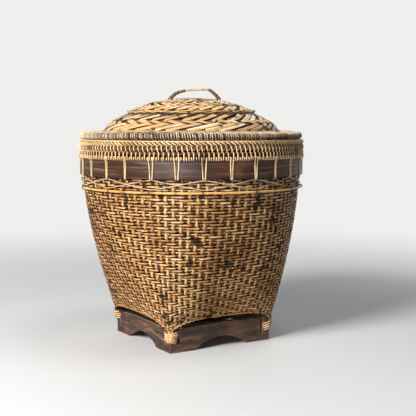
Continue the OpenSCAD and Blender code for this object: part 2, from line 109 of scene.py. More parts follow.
class BasketColours(bpy.types.PropertyGroup):
    """Colours of the canes and woods"""

    cream: paint("Cream", "Weaving strand where it is rubbed pale", (0.93, 0.73, 0.46))
    honey: paint("Honey", "Weaving strand where it has faded", (0.80, 0.48, 0.18))
    amber: paint("Amber", "Body colour of the weaving strand", (0.37, 0.155, 0.044))
    stake: paint("Stake", "Upright strips", (0.34, 0.165, 0.058))
    straw: paint("Straw", "Pale cane of the lashings and the knots", (0.86, 0.675, 0.43))
    tan: paint("Tan", "Wide strips of the lid", (0.54, 0.315, 0.125))
    grey_tan: paint("Grey tan", "Cane under the lid where it has faded", (0.40, 0.28, 0.175))
    hoop_brown: paint("Hoop brown", "Cane under the lid and inside its edge", (0.22, 0.09, 0.03))
    # This colour darkens stain spots, joints and fibres, and is also the colour of the painted shade in dips, at strand
    # edges and under the band.
    dirt_and_shade: paint("Soot", "Dirt in the hollows and stain spots", (0.022, 0.011, 0.005))
    band_wood: paint("Band wood", "Dark bent-wood band", (0.040, 0.016, 0.009))
    stand_wood: paint("Stand wood", "Boards of the stand", (0.088, 0.046, 0.027))
    floor: paint("Floor", "Pale floor under the basket", (0.60, 0.63, 0.67))
    backdrop: paint("Backdrop", "Pale background far from the basket", (0.86, 0.86, 0.85))


def maths(operation, reflected=False):
    """An operator of a wire that adds one Math node; a reflected one puts the wire last."""

    def use(self, *values):
        return self.net.math(operation, *((*values, self) if reflected else (self, *values)))

    return use


class Wire:
    """One socket of a node tree, used in plain arithmetic."""

    __add__ = __radd__ = maths("ADD")
    __sub__, __rsub__ = maths("SUBTRACT"), maths("SUBTRACT", True)
    __mul__ = __rmul__ = maths("MULTIPLY")
    __truediv__, __rtruediv__ = maths("DIVIDE"), maths("DIVIDE", True)
    __pow__, __mod__ = maths("POWER"), maths("FLOORED_MODULO")
    __gt__, __lt__ = maths("GREATER_THAN"), maths("LESS_THAN")
    __abs__, floor, sign = maths("ABSOLUTE"), maths("FLOOR"), maths("SIGN")
    sin, cos, atan = maths("SINE"), maths("COSINE"), maths("ARCTANGENT")
    least, most = maths("MINIMUM"), maths("MAXIMUM")

    def __init__(self, net, socket):
        self.net, self.socket = net, socket

    def other(self, name):
        """Another output of the same node."""
        return Wire(self.net, self.socket.node.outputs[name])

    def log2(self):
        return self.net.math("LOGARITHM", self, 2.0)

    def clamp(self, low=0.0, high=1.0):
        return self.most(low).least(high)

    def ease(self, low, high):
        """0 below low, 1 above high, smooth between."""
        share = ((self - low) / (high - low)).clamp()
        return share * share * (3.0 - 2.0 * share)


class Net:
    """A node tree that is being wired."""

    def __init__(self, tree):
        self.tree = tree

    def node(self, kind, settings=None, sockets=None, out=0):
        made = self.tree.nodes.new(kind)
        for key, value in (settings or {}).items():
            if key == "stops":
                stops = made.color_ramp.elements
                while len(stops) < len(value):
                    stops.new(0.5)
                for stop, (place, colour) in zip(stops, value):
                    stop.position, stop.color = place, (*colour, 1.0)
            elif key == "interpolation":
                made.color_ramp.interpolation = value
            else:
                setattr(made, key, value)
        for key, value in (sockets or {}).items():
            self.plug(value, made.inputs[key])
        return Wire(self, made.outputs[out]) if len(made.outputs) else made

    def plug(self, value, socket):
        if isinstance(value, Wire):
            self.tree.links.new(value.socket, socket)
        elif socket.type == "RGBA" and len(value) == 3:
            socket.default_value = (*value, 1.0)
        else:
            socket.default_value = value

    def math(self, operation, *values):
        return self.node("ShaderNodeMath", {"operation": operation}, dict(enumerate(values)))

    def vector(self, x, y, z):
        return self.node("ShaderNodeCombineXYZ", None, {0: x, 1: y, 2: z})

    def ring(self, radius, cos, sin, height):
        """A vector with this radius and height, in the direction that has the cosine and the sine."""
        return self.vector(radius * cos, radius * sin, height)

    def parts(self, vector):
        x = self.node("ShaderNodeSeparateXYZ", None, {0: vector})
        return x, x.other("Y"), x.other("Z")

    def vector_math(self, operation, *values):
        return self.node("ShaderNodeVectorMath", {"operation": operation}, dict(enumerate(values)))

    def unit(self, vector):
        return self.vector_math("NORMALIZE", vector)

    def push(self, place, direction, distance):
        """A place moved along the direction."""
        moved = self.node("ShaderNodeVectorMath", {"operation": "SCALE"}, {0: direction, "Scale": distance})
        return self.vector_math("ADD", place, moved)

    def lifted(self, place, rise):
        """A place moved straight up."""
        return self.vector_math("ADD", place, self.vector(0.0, 0.0, rise))

    def colour(self, share, first, second, blend="MIX"):
        return self.node(
            "ShaderNodeMix", {"data_type": "RGBA", "blend_type": blend}, {0: share, 6: first, 7: second}, 2
        )

    def noise(self, vector, scale, detail=2.0, roughness=0.5):
        return self.node(
            "ShaderNodeTexNoise", None, {"Vector": vector, "Scale": scale, "Detail": detail, "Roughness": roughness}
        )

    def grain(self, places, speeds, detail=2.0, roughness=0.5):
        """Noise that changes at a speed of its own in each of three directions."""
        return self.noise(self.vector(*(at * speed for at, speed in zip(places, speeds))), 1.0, detail, roughness)

    def wave(self, x, y, z, detail=2.0):
        """Noise by three numbers, at the speed that they change."""
        return self.noise(self.vector(x, y, z), 1.0, detail)

    def chance(self, x, y):
        """A number of its own for each pair of whole numbers."""
        return self.node("ShaderNodeTexWhiteNoise", {"noise_dimensions": "2D"}, {"Vector": self.vector(x, y, 0.0)})

    def place(self):
        """Where the surface lies in the piece's own axes."""
        return self.node("ShaderNodeTexCoord", None, None, "Object")

    def attribute(self, name):
        return self.node("ShaderNodeAttribute", {"attribute_name": name}, None, "Fac")

    def in_view(self):
        """1 for the rays that show the surroundings: to the camera, off a gloss or through a clear piece."""
        ray = self.node("ShaderNodeLightPath", None, None, "Is Camera Ray")
        return ray.most(ray.other("Is Glossy Ray")).most(ray.other("Is Transmission Ray"))

    def random(self, low, high, strand, seed):
        return self.node(
            "FunctionNodeRandomValue", {"data_type": "FLOAT"}, {2: low, 3: high, "ID": strand, "Seed": seed}, 1
        )

    def store(self, geometry, name, value, kind="FLOAT"):
        return self.node(
            "GeometryNodeStoreNamedAttribute", {"data_type": kind, "domain": "POINT"},
            {"Geometry": geometry, "Name": name, "Value": value},
        )

    def recall(self, name, kind="FLOAT"):
        return self.node("GeometryNodeInputNamedAttribute", {"data_type": kind}, {"Name": name})

    def table(self, share, stops, even=False, places=None):
        """Values read from a smooth table of three columns, spaced evenly or by distance, its own or that of places."""
        low = [min(stop[k] for stop in stops) for k in range(3)]
        size = [max(max(stop[k] for stop in stops) - low[k], 1e-6) for k in range(3)]
        marks, places = places or stops, [0.0]
        for a, b in zip(marks, marks[1:]):
            places.append(places[-1] + (1.0 if even else max(math.dist(a, b), 1e-5)))
        levels = [tuple((stop[k] - low[k]) / size[k] for k in range(3)) for stop in stops]
        ramp = self.node(
            "ShaderNodeValToRGB",
            {"stops": [(place / places[-1], level) for place, level in zip(places, levels)],
             "interpolation": "CARDINAL"},
            {0: share},
        )
        return [part * size[k] + low[k] for k, part in enumerate(self.parts(ramp))]


def new_finish(name):
    """A material with an empty tree but for its shader and its output."""
    material = bpy.data.materials.new(name)
    material.use_nodes = True
    net = Net(material.node_tree)
    net.tree.nodes.clear()
    shader = net.tree.nodes.new("ShaderNodeBsdfPrincipled")
    net.node("ShaderNodeOutputMaterial", None, {"Surface": Wire(net, shader.outputs[0])})
    return material, net, shader


def finish_off(net, shader, colour, roughness, gloss, height, strength, depth):
    """Gives a shader its colour, its roughness, its gloss and its fine relief."""
    net.plug(colour, shader.inputs["Base Color"])
    net.plug(roughness, shader.inputs["Roughness"])
    shader.inputs["Specular IOR Level"].default_value = gloss
    bump = net.node("ShaderNodeBump", None, {"Height": height, "Strength": strength, "Distance": depth})
    net.plug(bump, shader.inputs["Normal"])


def cane(name, pale, body, stain=0.5, dip_shade=0.75, shine=0.42, joints=0.0, scuff=0.0, edge=0.4, bright=None,
         within=None, splints=0, gloss=0.2, mottled=1.0, under=0.0):
    """Split cane: fibres along the strand, faded, scuffed and stained patches, painted shade at its edges and dips.

    Stain gives the dirt in its spots; the dip, edge and lower-side amounts give painted shade in its dips, at
    its edges, between its splints and on its lower side. Bright is the colour where it is rubbed and within the one
    that its inner face has. Joints is the distance between the cane's own joints, and splints the number of splints
    that lie side by side in a strip.
    """
    dirt_and_shade = bpy.context.scene.basket_colours.dirt_and_shade
    material, net, shader = new_finish(name)
    run, side, tone, lift, strand, across = (
        net.attribute(word) for word in ("run", "side", "tone", "lift", "strand", "across")
    )
    if splints:
        lane = (across + 1.0) * (splints / 2)
        tone = tone * 0.55 + net.chance(lane.floor(), strand) * 0.5
    place = net.place()
    fibre = net.grain((run, side, strand), (30.0, 16.0, 3.7), 3.0, 0.6)
    mottle = net.grain((run, side, strand), (110.0, 3.0, 5.1))
    patch = net.noise(place, 15.0, 3.0)
    blot = net.noise(place, 46.0, 3.0, 0.45)
    faded = 0.1 + tone * (0.8 - 0.1 * mottled) + (patch - 0.5) * 1.3 + (mottle - 0.5) * 1.1 * mottled
    colour = net.colour(faded.clamp(), body, pale)
    colour = net.colour((fibre - 0.44).clamp(0.0, 0.3) * 2.4, colour, body, "MULTIPLY")
    if bright:
        rubbed = tone * (1.25 - 0.25 * mottled) + (mottle - 0.5) * 0.9 * mottled
        colour = net.colour(rubbed.ease(0.85 - 0.15 * mottled, 1.02) * 0.85, colour, bright)
    if within:
        colour = net.colour(net.attribute("depth") < -0.5, colour, net.colour(fibre.ease(0.35, 0.65), body, within))
    if scuff:
        worn = patch.ease(0.52, 0.68) * mottle.ease(0.48, 0.62) * lift.ease(0.3, 0.9)
        colour = net.colour(worn * scuff, colour, (0.66, 0.55, 0.43))
    dirt = (blot.ease(0.62, 0.68) * 1.15 + (0.47 - patch).clamp() * 1.1 + (0.4 - mottle).clamp() * 0.7) * stain
    # Painted shade where lift is low: where a strand dips under another, and where the band or the tier above would
    # shade it; routes that lower lift at random give dark strands.
    painted_dip_shade = (0.45 - lift).clamp(0.0, 2.4) * dip_shade * 0.69
    if joints:
        ring = ((run + tone * joints) % joints) / joints
        dirt = dirt + ring.ease(0.93, 0.97) * (1.0 - ring.ease(0.97, 1.0)) * 0.5
    # Painted shade along both edges of a strand, on its lower side and along the edges of its splints; dirt above is
    # the cane's own stains and joints.
    painted_edge_shade = abs(across).ease(0.6, 0.95) * edge
    if under:
        painted_edge_shade = painted_edge_shade.most(across.ease(0.15, 0.8) * under)
    if splints:
        painted_edge_shade = painted_edge_shade.most(abs(lane % 1.0 - 0.5).ease(0.36, 0.48) * edge)
    colour = net.colour((dirt + painted_dip_shade + painted_edge_shade).clamp(0.0, 0.96), colour, dirt_and_shade)
    roughness = (shine + (fibre - 0.5) * 0.35 + dirt * 0.3).clamp(0.2, 0.95)
    finish_off(net, shader, colour, roughness, gloss, fibre + mottle * 0.6, 0.45, 0.0004)
    return material


def plain_cane(name, pale, body):
    """Cane on a turned or hidden piece, with its fibres round the axis."""
    material, net, shader = new_finish(name)
    place = net.place()
    fibre = net.grain(net.parts(place), (14.0, 14.0, 420.0), 3.0, 0.6)
    colour = net.colour(net.noise(place, 22.0, 3.0).ease(0.3, 0.7), body, pale)
    colour = net.colour((fibre - 0.45).clamp() * 1.6, colour, bpy.context.scene.basket_colours.dirt_and_shade)
    finish_off(net, shader, colour, (0.5 + (fibre - 0.5) * 0.4).clamp(), 0.5, fibre, 0.4, 0.0005)
    return material


def wood(name, body, dark, light, along, shine, red=None, gloss=0.25, streaks=0.3):
    """Dark wood; along gives how fast the grain changes in X, Y and Z."""
    material, net, shader = new_finish(name)
    place = net.place()
    drawn = [axis * speed for axis, speed in zip(net.parts(place), along)]
    sway = net.noise(place, 9.0, 1.0)
    warped = net.vector(*(axis + sway * swing for axis, swing in zip(drawn, (0.9, 0.9, 1.6))))
    grain = net.noise(warped, 1.0, 5.0, 0.62)
    pore = net.grain(drawn, (3.0, 3.0, 3.2), 3.0, 0.7)
    patch = net.noise(place, 14.0, 3.0)
    streak = net.grain(drawn, (1.7, 1.7, 0.62), 2.0, 0.6)
    colour = net.colour(grain.ease(0.3, 0.72), dark, body)
    colour = net.colour(pore.ease(0.54, 0.72) * 0.75, colour, light)
    colour = net.colour(streak.ease(0.53, 0.66) * streaks, colour, light)
    colour = net.colour((0.47 - streak).clamp() * 5.0 * streaks, colour, dark)
    colour = net.colour((0.44 - pore).clamp() * 2.6, colour, dark)
    if red:
        colour = net.colour(patch.ease(0.52, 0.68) * 0.6, colour, red)
    colour = net.colour(patch.ease(0.56, 0.8) * 0.5, colour, light)
    roughness = (shine + (grain - 0.5) * 0.4 + (patch - 0.5) * 0.3).clamp(0.18, 0.9)
    finish_off(net, shader, colour, roughness, gloss, grain + pore * 0.7, 0.4, 0.0006)
    return material


def cross_section(net, size, sides, flat):
    """The outline that a strand shows where it is cut across, and how far each of its points lies from the middle."""
    if flat:
        edge = net.node(
            "GeometryNodeCurvePrimitiveQuadrilateral", {"mode": "RECTANGLE"},
            {"Width": size["Thickness"], "Height": size["Width"]},
        )
        edge = net.node(
            "GeometryNodeFilletCurve", {"mode": "POLY"},
            {"Curve": edge, "Count": 2, "Radius": size["Thickness"] * 0.42},
        )
    else:
        edge = net.node("GeometryNodeCurvePrimitiveCircle", {"mode": "RADIUS"}, {"Resolution": sides, "Radius": 1.0})
        edge = net.node(
            "GeometryNodeTransform", None,
            {"Geometry": edge, "Scale": net.vector(size["Thickness"] * 0.5, size["Width"] * 0.5, 1.0)},
        )
    edge = net.store(edge, "side", net.node("GeometryNodeSplineParameter"))
    deep, wide, _ = net.parts(net.node("GeometryNodeInputPosition"))
    edge = net.store(edge, "across", wide / (size["Width"] * 0.5))
    return net.store(edge, "depth", deep / (size["Thickness"] * 0.5))


def new_piece(name, mesh):
    piece = bpy.data.objects.new(name, mesh)
    bpy.context.scene.collection.objects.link(piece)
    return piece


def strands(name, finish, sizes, count, points, route, closed=False, sides=6, flat=False, seed=1):
    """Lays count strands of the given number of points on a route and gives the finished object.

    The route gets the net, the sizes as wires, the strand's number and the share of the strand passed, and
    returns where the strand lies (at), which way its broad face looks (out) and what the finish reads.
    """
    tree = bpy.data.node_groups.new(name, "GeometryNodeTree")
    tree.interface.new_socket(name="Geometry", in_out="OUTPUT", socket_type="NodeSocketGeometry")
    net = Net(tree)
    values = {"Strands": count, "Points": points, "Seed": seed, **sizes}
    idents = {}
    for label, value in values.items():
        kind = "NodeSocketInt" if isinstance(value, int) else "NodeSocketFloat"
        idents[label] = tree.interface.new_socket(name=label, in_out="INPUT", socket_type=kind).identifier
    given = tree.nodes.new("NodeGroupInput")
    size = {label: Wire(net, given.outputs[label]) for label in values}
    dots = net.node("GeometryNodePoints", None, {"Count": size["Strands"]})
    dots = net.store(dots, "strand", net.node("GeometryNodeInputIndex"))
    if closed:
        line = net.node("GeometryNodeCurvePrimitiveCircle", {"mode": "RADIUS"}, {"Resolution": size["Points"]})
    else:
        line = net.node("GeometryNodeCurvePrimitiveLine", None, {"Start": (0, 0, 0), "End": (1, 0, 0)})
        line = net.node("GeometryNodeResampleCurve", {"mode": "COUNT"}, {"Curve": line, "Count": size["Points"]})
    laid = net.node("GeometryNodeInstanceOnPoints", None, {"Points": dots, "Instance": line})
    laid = net.node("GeometryNodeRealizeInstances", None, {"Geometry": laid})
    laid = net.store(laid, "step", net.node("GeometryNodeSplineParameter"))
    strand = net.recall("strand")
    way = route(net, size, strand, net.recall("step"))
    laid = net.store(laid, "tone", way.get("tone", net.random(0.0, 1.0, strand, size["Seed"])))
    laid = net.store(laid, "lift", way.get("lift", 1.0))
    laid = net.store(laid, "facing", way["out"], "FLOAT_VECTOR")
    laid = net.store(laid, "swell", way.get("scale", 1.0))
    laid = net.node("GeometryNodeSetPosition", None, {"Geometry": laid, "Position": way["at"]})
    facing = net.recall("facing", "FLOAT_VECTOR")
    laid = net.node("GeometryNodeSetCurveNormal", {"mode": "FREE"}, {"Curve": laid, "Normal": facing})
    laid = net.store(laid, "run", net.node("GeometryNodeSplineParameter", None, None, "Length"))
    skin = net.node(
        "GeometryNodeCurveToMesh", None,
        {"Curve": laid, "Profile Curve": cross_section(net, size, sides, flat), "Scale": net.recall("swell"),
         "Fill Caps": True},
    )
    skin = net.node("GeometryNodeSetShadeSmooth", None, {"Geometry": skin, "Shade Smooth": True})
    skin = net.node("GeometryNodeRealizeInstances", None, {"Geometry": skin})
    skin = net.node("GeometryNodeSetMaterial", None, {"Geometry": skin, "Material": finish})
    net.node("NodeGroupOutput", None, {0: skin})
    holder = new_piece(name + "_source", bpy.data.meshes.new(name + "_source"))
    modifier = holder.modifiers.new(name, "NODES")
    modifier.node_group = tree
    for label, value in values.items():
        modifier[idents[label]] = value
    graph = bpy.context.evaluated_depsgraph_get()
    mesh = bpy.data.meshes.new_from_object(
        holder.evaluated_get(graph), preserve_all_data_layers=True, depsgraph=graph
    )
    holder.modifiers.remove(modifier)
    bpy.data.objects.remove(holder)
    if not len(mesh.polygons):
        raise RuntimeError(name + " came out empty")
    mesh.name = name
    return new_piece(name, mesh)


def settle(piece, body, slot, *nodes):
    """Fixes a finished piece to its body and hides the solids it stands for; the slot is not used."""
    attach(piece, body)
    if nodes:
        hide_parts(*nodes)


def finish_nodes(finish, *nodes):
    """Gives solids that stay in sight their finish."""
    for node in nodes:
        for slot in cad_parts[node].material_slots:
            slot.material = finish


def wall_sizes(sizes, width, thickness, **more):
    return {
        "Width": width, "Thickness": thickness, "Mouth Radius": sizes.mouth_radius, "Base Half": sizes.base_half,
        "Base Diagonal": sizes.base_half * math.sqrt(2) - sizes.corner_cut, "Base Height": sizes.base_height,
        "Base Arch": sizes.base_arch, "Base Dome": sizes.base_dome, "Full Round Height": BAND_LOW.z, "Belly": 1.6,
        "Wall Top": WALL_HIGH.z - 0.0012, "Stakes Per Side": float(sizes.warps_per_side),
        "Rows": float(sizes.weft_rows), "Depth": 0.0024, "Lift": 0.0011, **more,
    }


def rounded_square(middle, diagonal, c, s):
    """Radius in the direction with these cosine and sine, and the power of the rounded square with these two radii."""
    n = 1.0 / (0.5 - (diagonal / middle).log2())
    return middle * (c ** n + s ** n) ** (-1.0 / n), n


def base_edge(size, c, s):
    """Radius and height of the base's edge in the direction with these cosine and sine."""
    reach, _ = rounded_square(size["Base Half"], size["Base Diagonal"], c, s)
    corner = (reach - size["Base Half"]) / (size["Base Diagonal"] - size["Base Half"])
    return reach, size["Base Height"] + size["Base Arch"] * (1.0 - corner * corner)


def wall_section(size, c, s, height):
    """Radius of the wall, the power of its rounded square and its flare at a height."""
    rise = ((height - size["Base Height"]) / (size["Full Round Height"] - size["Base Height"])).clamp()
    swell = 1.0 - (1.0 - rise).most(0.0) ** size["Belly"]
    middle = size["Base Half"] + (size["Mouth Radius"] - size["Base Half"]) * swell
    diagonal = size["Base Diagonal"] + (size["Mouth Radius"] - size["Base Diagonal"]) * swell
    flare = (1.0 - rise).most(0.0) ** 0.45 * 0.52
    return *rounded_square(middle, diagonal, c, s), flare


def on_wall(net, size, stake, share):
    """Place on the wall's outside, the way it faces and its height, by stake number and share of the height."""
    lap = stake / size["Stakes Per Side"]
    face = lap.floor()
    across = (lap - face) * 2.0 - 1.0
    even = across * (math.pi / 4)
    turn = face * QUARTER + across.atan() + (even - across.atan()) * share.ease(0.0, 0.9)
    cos, sin = turn.cos(), turn.sin()
    c, s = abs(cos), abs(sin)
    arch = base_edge(size, c, s)[1] - size["Base Height"]
    height = size["Base Height"] + (size["Wall Top"] - size["Base Height"]) * share + arch * (1.0 - share) ** 8.0
    radius, n, flare = wall_section(size, c, s, height)
    flat = net.unit(net.vector(cos.sign() * c ** (n - 1.0), sin.sign() * s ** (n - 1.0), 0.0))
    out = net.unit(net.vector_math("SUBTRACT", flat, net.vector(0.0, 0.0, flare)))
    return net.ring(radius, cos, sin, height), out, height


def over_under(stake, row):
    """1 where the weaving strand lies over the stake, -1 where it lies under: over two, under two."""
    return (((stake + row) * QUARTER).cos() * 1.6).clamp(-1.0, 1.0)


def band_shade(height, lift):
    """Painted shade on the strands, taken off their lift: a little from 24 mm below the band, deep from 5 mm below it
    up behind the band and the border.
    """
    near = height.ease(BAND_LOW.z - 0.024, BAND_LOW.z - 0.006) * 0.4
    return lift - (near + height.ease(BAND_LOW.z - 0.005, BAND_LOW.z) * 1.4)


class BASKET_OT_weave(bpy.types.Operator):
    """Weaves the wall and the floor of the basket, round at the mouth and square at the base"""

    bl_idname = "basket.weave"
    bl_label = "Weave the body"

    def execute(self, context):
        sizes, paints = context.scene.basket_sizes, context.scene.basket_colours
        per_side, rows = sizes.warps_per_side, sizes.weft_rows
        stakes, bands, row_start, hem_twists, hem_radius = 4 * per_side, 22, 0.62, 52.0, 0.0011
        weaver = cane(
            "weaver_cane", paints.honey, paints.amber, stain=1.0, dip_shade=1.4, shine=0.26, joints=0.11, scuff=0.5,
            edge=0.95, bright=paints.cream, gloss=0.14, mottled=2.2, under=0.9,
        )
        upright = cane(
            "stake_cane", paints.honey, paints.stake, stain=0.9, dip_shade=1.5, shine=0.3, scuff=0.4, edge=0.9,
            gloss=0.14, mottled=2.2,
        )
        # Near-black strips behind the weave: painted shade that shows through the gaps between the strands; only their
        # inner face has the within colour.
        inner = cane(
            "gap_shade_cane", (0.03, 0.014, 0.006), (0.014, 0.006, 0.003), stain=0.6, dip_shade=0.0, shine=0.7,
            within=(0.22, 0.115, 0.045),
        )

        def weft(net, size, strand, step):
            row = strand + size["First Row"]
            stake = step * float(stakes)
            at, out, height = on_wall(net, size, stake, (row + row_start) / size["Rows"])
            lift = over_under(stake, row)
            drift = net.wave(stake * 0.21, row * 1.7, 0.0) - 0.5
            fade = net.wave(stake * 0.09, row * 13.3, 4.0) - 0.5
            own = net.chance(((stake + row + 1.0) / 4.0).floor(), row) - 0.5
            at = net.push(at, out, lift * size["Lift"] - size["Depth"])
            return {
                # Lift is low at the float ends, for the painted shade in dips, and lowered further by the painted shade
                # of the band.
                "at": net.lifted(at, drift * 0.0022), "out": out, "lift": band_shade(height, abs(lift) * 1.5 - 0.5),
                "tone": (0.46 + fade * 2.2 + own * 0.6 + (lift < 0.0) * 0.35).clamp(),
                "scale": 0.80 + lift.most(0.0) * 0.2 + drift * 0.4,
            }

        def warp(net, size, strand, step):
            stake = strand + 0.5
            at, out, height = on_wall(net, size, stake, step)
            lift = over_under(stake, step * size["Rows"] - row_start) * -1.0
            at = net.push(at, out, lift * size["Lift"] * 0.85 - size["Depth"])
            # Lift gives the over and under, less the painted shade of the band.
            return {"at": at, "out": out, "lift": band_shade(height, lift)}

        def mat(net, size, strand, step):
            per = size["Stakes Per Side"]
            cross = (strand / per).floor()
            lane = strand - cross * per
            u = ((lane + 0.5) / per * 2.0 - 1.0) * size["Base Half"] * 0.985
            v = (step * 2.0 - 1.0) * size["Base Half"] * 0.985
            x, y = v + (u - v) * cross, u + (v - u) * cross
            r = (x * x + y * y).most(1e-9) ** 0.5
            reach, edge = base_edge(size, abs(x) / r, abs(y) / r)
            share = r / reach
            middle = size["Base Height"] + size["Base Arch"] + size["Base Dome"]
            z = middle + (edge - middle) * share * share
            draw = (share - 1.0).clamp() * -0.6 + 1.0
            lift = ((step * per - 0.5 + lane) * math.pi).cos() * (1.0 - 2.0 * cross)
            at = net.vector(x * draw, y * draw, z + 0.0026 - lift * 0.0008)
            return {"at": at, "out": net.vector(0.0, 0.0, -1.0), "lift": lift * 0.5 + 0.3}

        # The near-black strips behind the wall, which stand for the shade in the weave's gaps.
        def backing(net, size, strand, step):
            at, out, _ = on_wall(net, size, step * float(stakes), (strand + 0.5) / size["Bands"])
            return {"at": net.push(at, out, -0.0036 - (strand % 2.0) * 0.0003), "out": out}

        def hem(net, size, strand, step):
            at, out, _ = on_wall(net, size, step * float(stakes), step * 0.0)
            turn = step * (TURN * hem_twists) + strand * math.pi
            at = net.push(at, out, turn.cos() * hem_radius - 0.0004)
            at = net.lifted(at, turn.sin() * hem_radius + 0.0021)
            return {"at": at, "out": out, "lift": turn.cos() * 0.6 + 0.4}

        def lay(name, finish, count, points, route, width, thickness, seed, closed=True, flat=False, **more):
            spec = wall_sizes(sizes, width, thickness, **more)
            piece = strands(name, finish, spec, count, points, route, closed, flat=flat, seed=seed)
            settle(piece, "basket", "honey_rattan", "woven_body")

        half = rows // 2
        for label, first, count in (("lower", 0, half), ("upper", half, rows - half)):
            lay("weave_rows_" + label, weaver, count, stakes * 5, weft, sizes.weft_width, sizes.weft_thickness, 1,
                **{"First Row": float(first)})
        lay("weave_stakes", upright, stakes, rows * 3, warp, sizes.warp_width, sizes.warp_thickness, 3, False)
        lay("weave_gap_shade_strips", inner, bands, stakes * 3, backing, 0.0142, 0.0004, 4, flat=True, Bands=float(bands))
        lay("base_hem", weaver, 2, 620, hem, 0.0026, 0.0026, 6)
        lay("floor_mat", upright, stakes // 2, 2 * per_side, mat, sizes.warp_width * 1.7, sizes.warp_thickness, 5,
            False)
        return {"FINISHED"}


def bend_round(middle, reach, first, every, count, shift, drift=0.0):
    """Stops of a bend round a hoop, in millimetres, at even angles in degrees, with a shift that may drift."""
    stops = []
    for k in range(count):
        around = math.radians(first + every * k)
        stops.append((
            middle[0] + reach[0] * math.cos(around), middle[1] + reach[1] * math.sin(around), shift + drift * k
        ))
    return stops


def loops(name, finish, count, stops, core, width, thickness, points, start=0.0, jitter=0.0, pair=False,
          seed=1, dark=0.0, thin=0.0, loose=1.0, slant=0.0):
    """Strands bent over a hoop or a band, spaced round the axis.

    Each stop of the bend gives radius, height and sideways shift in millimetres; core is the middle that the
    broad face looks away from, or None to look away from the axis.
    """
    bend = [tuple(value * MM for value in stop) for stop in stops]

    def route(net, size, strand, step):
        radius, height, shift = net.table(step, bend)
        number_of = (strand / 2.0).floor() if pair else strand
        chance = net.random(-1.0, 1.0, number_of, size["Seed"])
        turn = size["Start Angle"] + number_of * (TURN / count) + chance * size["Jitter"] + step * slant
        if pair:
            side = 1.0 - 2.0 * (strand % 2.0)
            shift = shift * side * (1.0 + net.random(-0.6 * loose, 0.25 * loose, number_of, size["Seed"] + 7.0))
        turn = turn + shift / radius
        cos, sin = turn.cos(), turn.sin()
        out = net.ring(radius - core[0] * MM, cos, sin, height - core[1] * MM) if core else net.vector(cos, sin, 0.0)
        return {
            "at": net.ring(radius, cos, sin, height), "out": net.unit(out),
            "tone": net.random(0.0, 1.0, strand, size["Seed"] + 3.0),
            "lift": 1.0 - net.random(0.0, dark, strand, size["Seed"] + 5.0), "scale": 1.0 - step * thin,
        }

    spec = {"Width": width * MM, "Thickness": thickness * MM, "Start Angle": start, "Jitter": jitter}
    return strands(name, finish, spec, count * 2 if pair else count, points, route, seed=seed)


def hoop(name, finish, radius, heights, thickness, points=240, wander=0.0003, seed=1, waves=3.0, knobby=0.12):
    """Round cane hoops one above another, each a little uneven."""

    def route(net, size, strand, step):
        turn = step * TURN
        cos, sin = turn.cos(), turn.sin()
        uneven = net.wave(cos * waves, sin * waves, strand * 5.0 + size["Seed"]) - 0.5
        height = size["Lowest"] + strand * size["Pitch"] + uneven * size["Wander"]
        at = net.ring(size["Radius"] + uneven * size["Wander"], cos, sin, height)
        return {"at": at, "out": net.vector(cos, sin, 0.0), "scale": 1.0 + uneven * knobby}

    spec = {
        "Width": thickness, "Thickness": thickness, "Radius": radius, "Lowest": heights[0],
        "Pitch": (heights[-1] - heights[0]) / max(len(heights) - 1, 1), "Wander": wander,
    }
    return strands(name, finish, spec, len(heights), points, route, closed=True, sides=8, seed=seed)


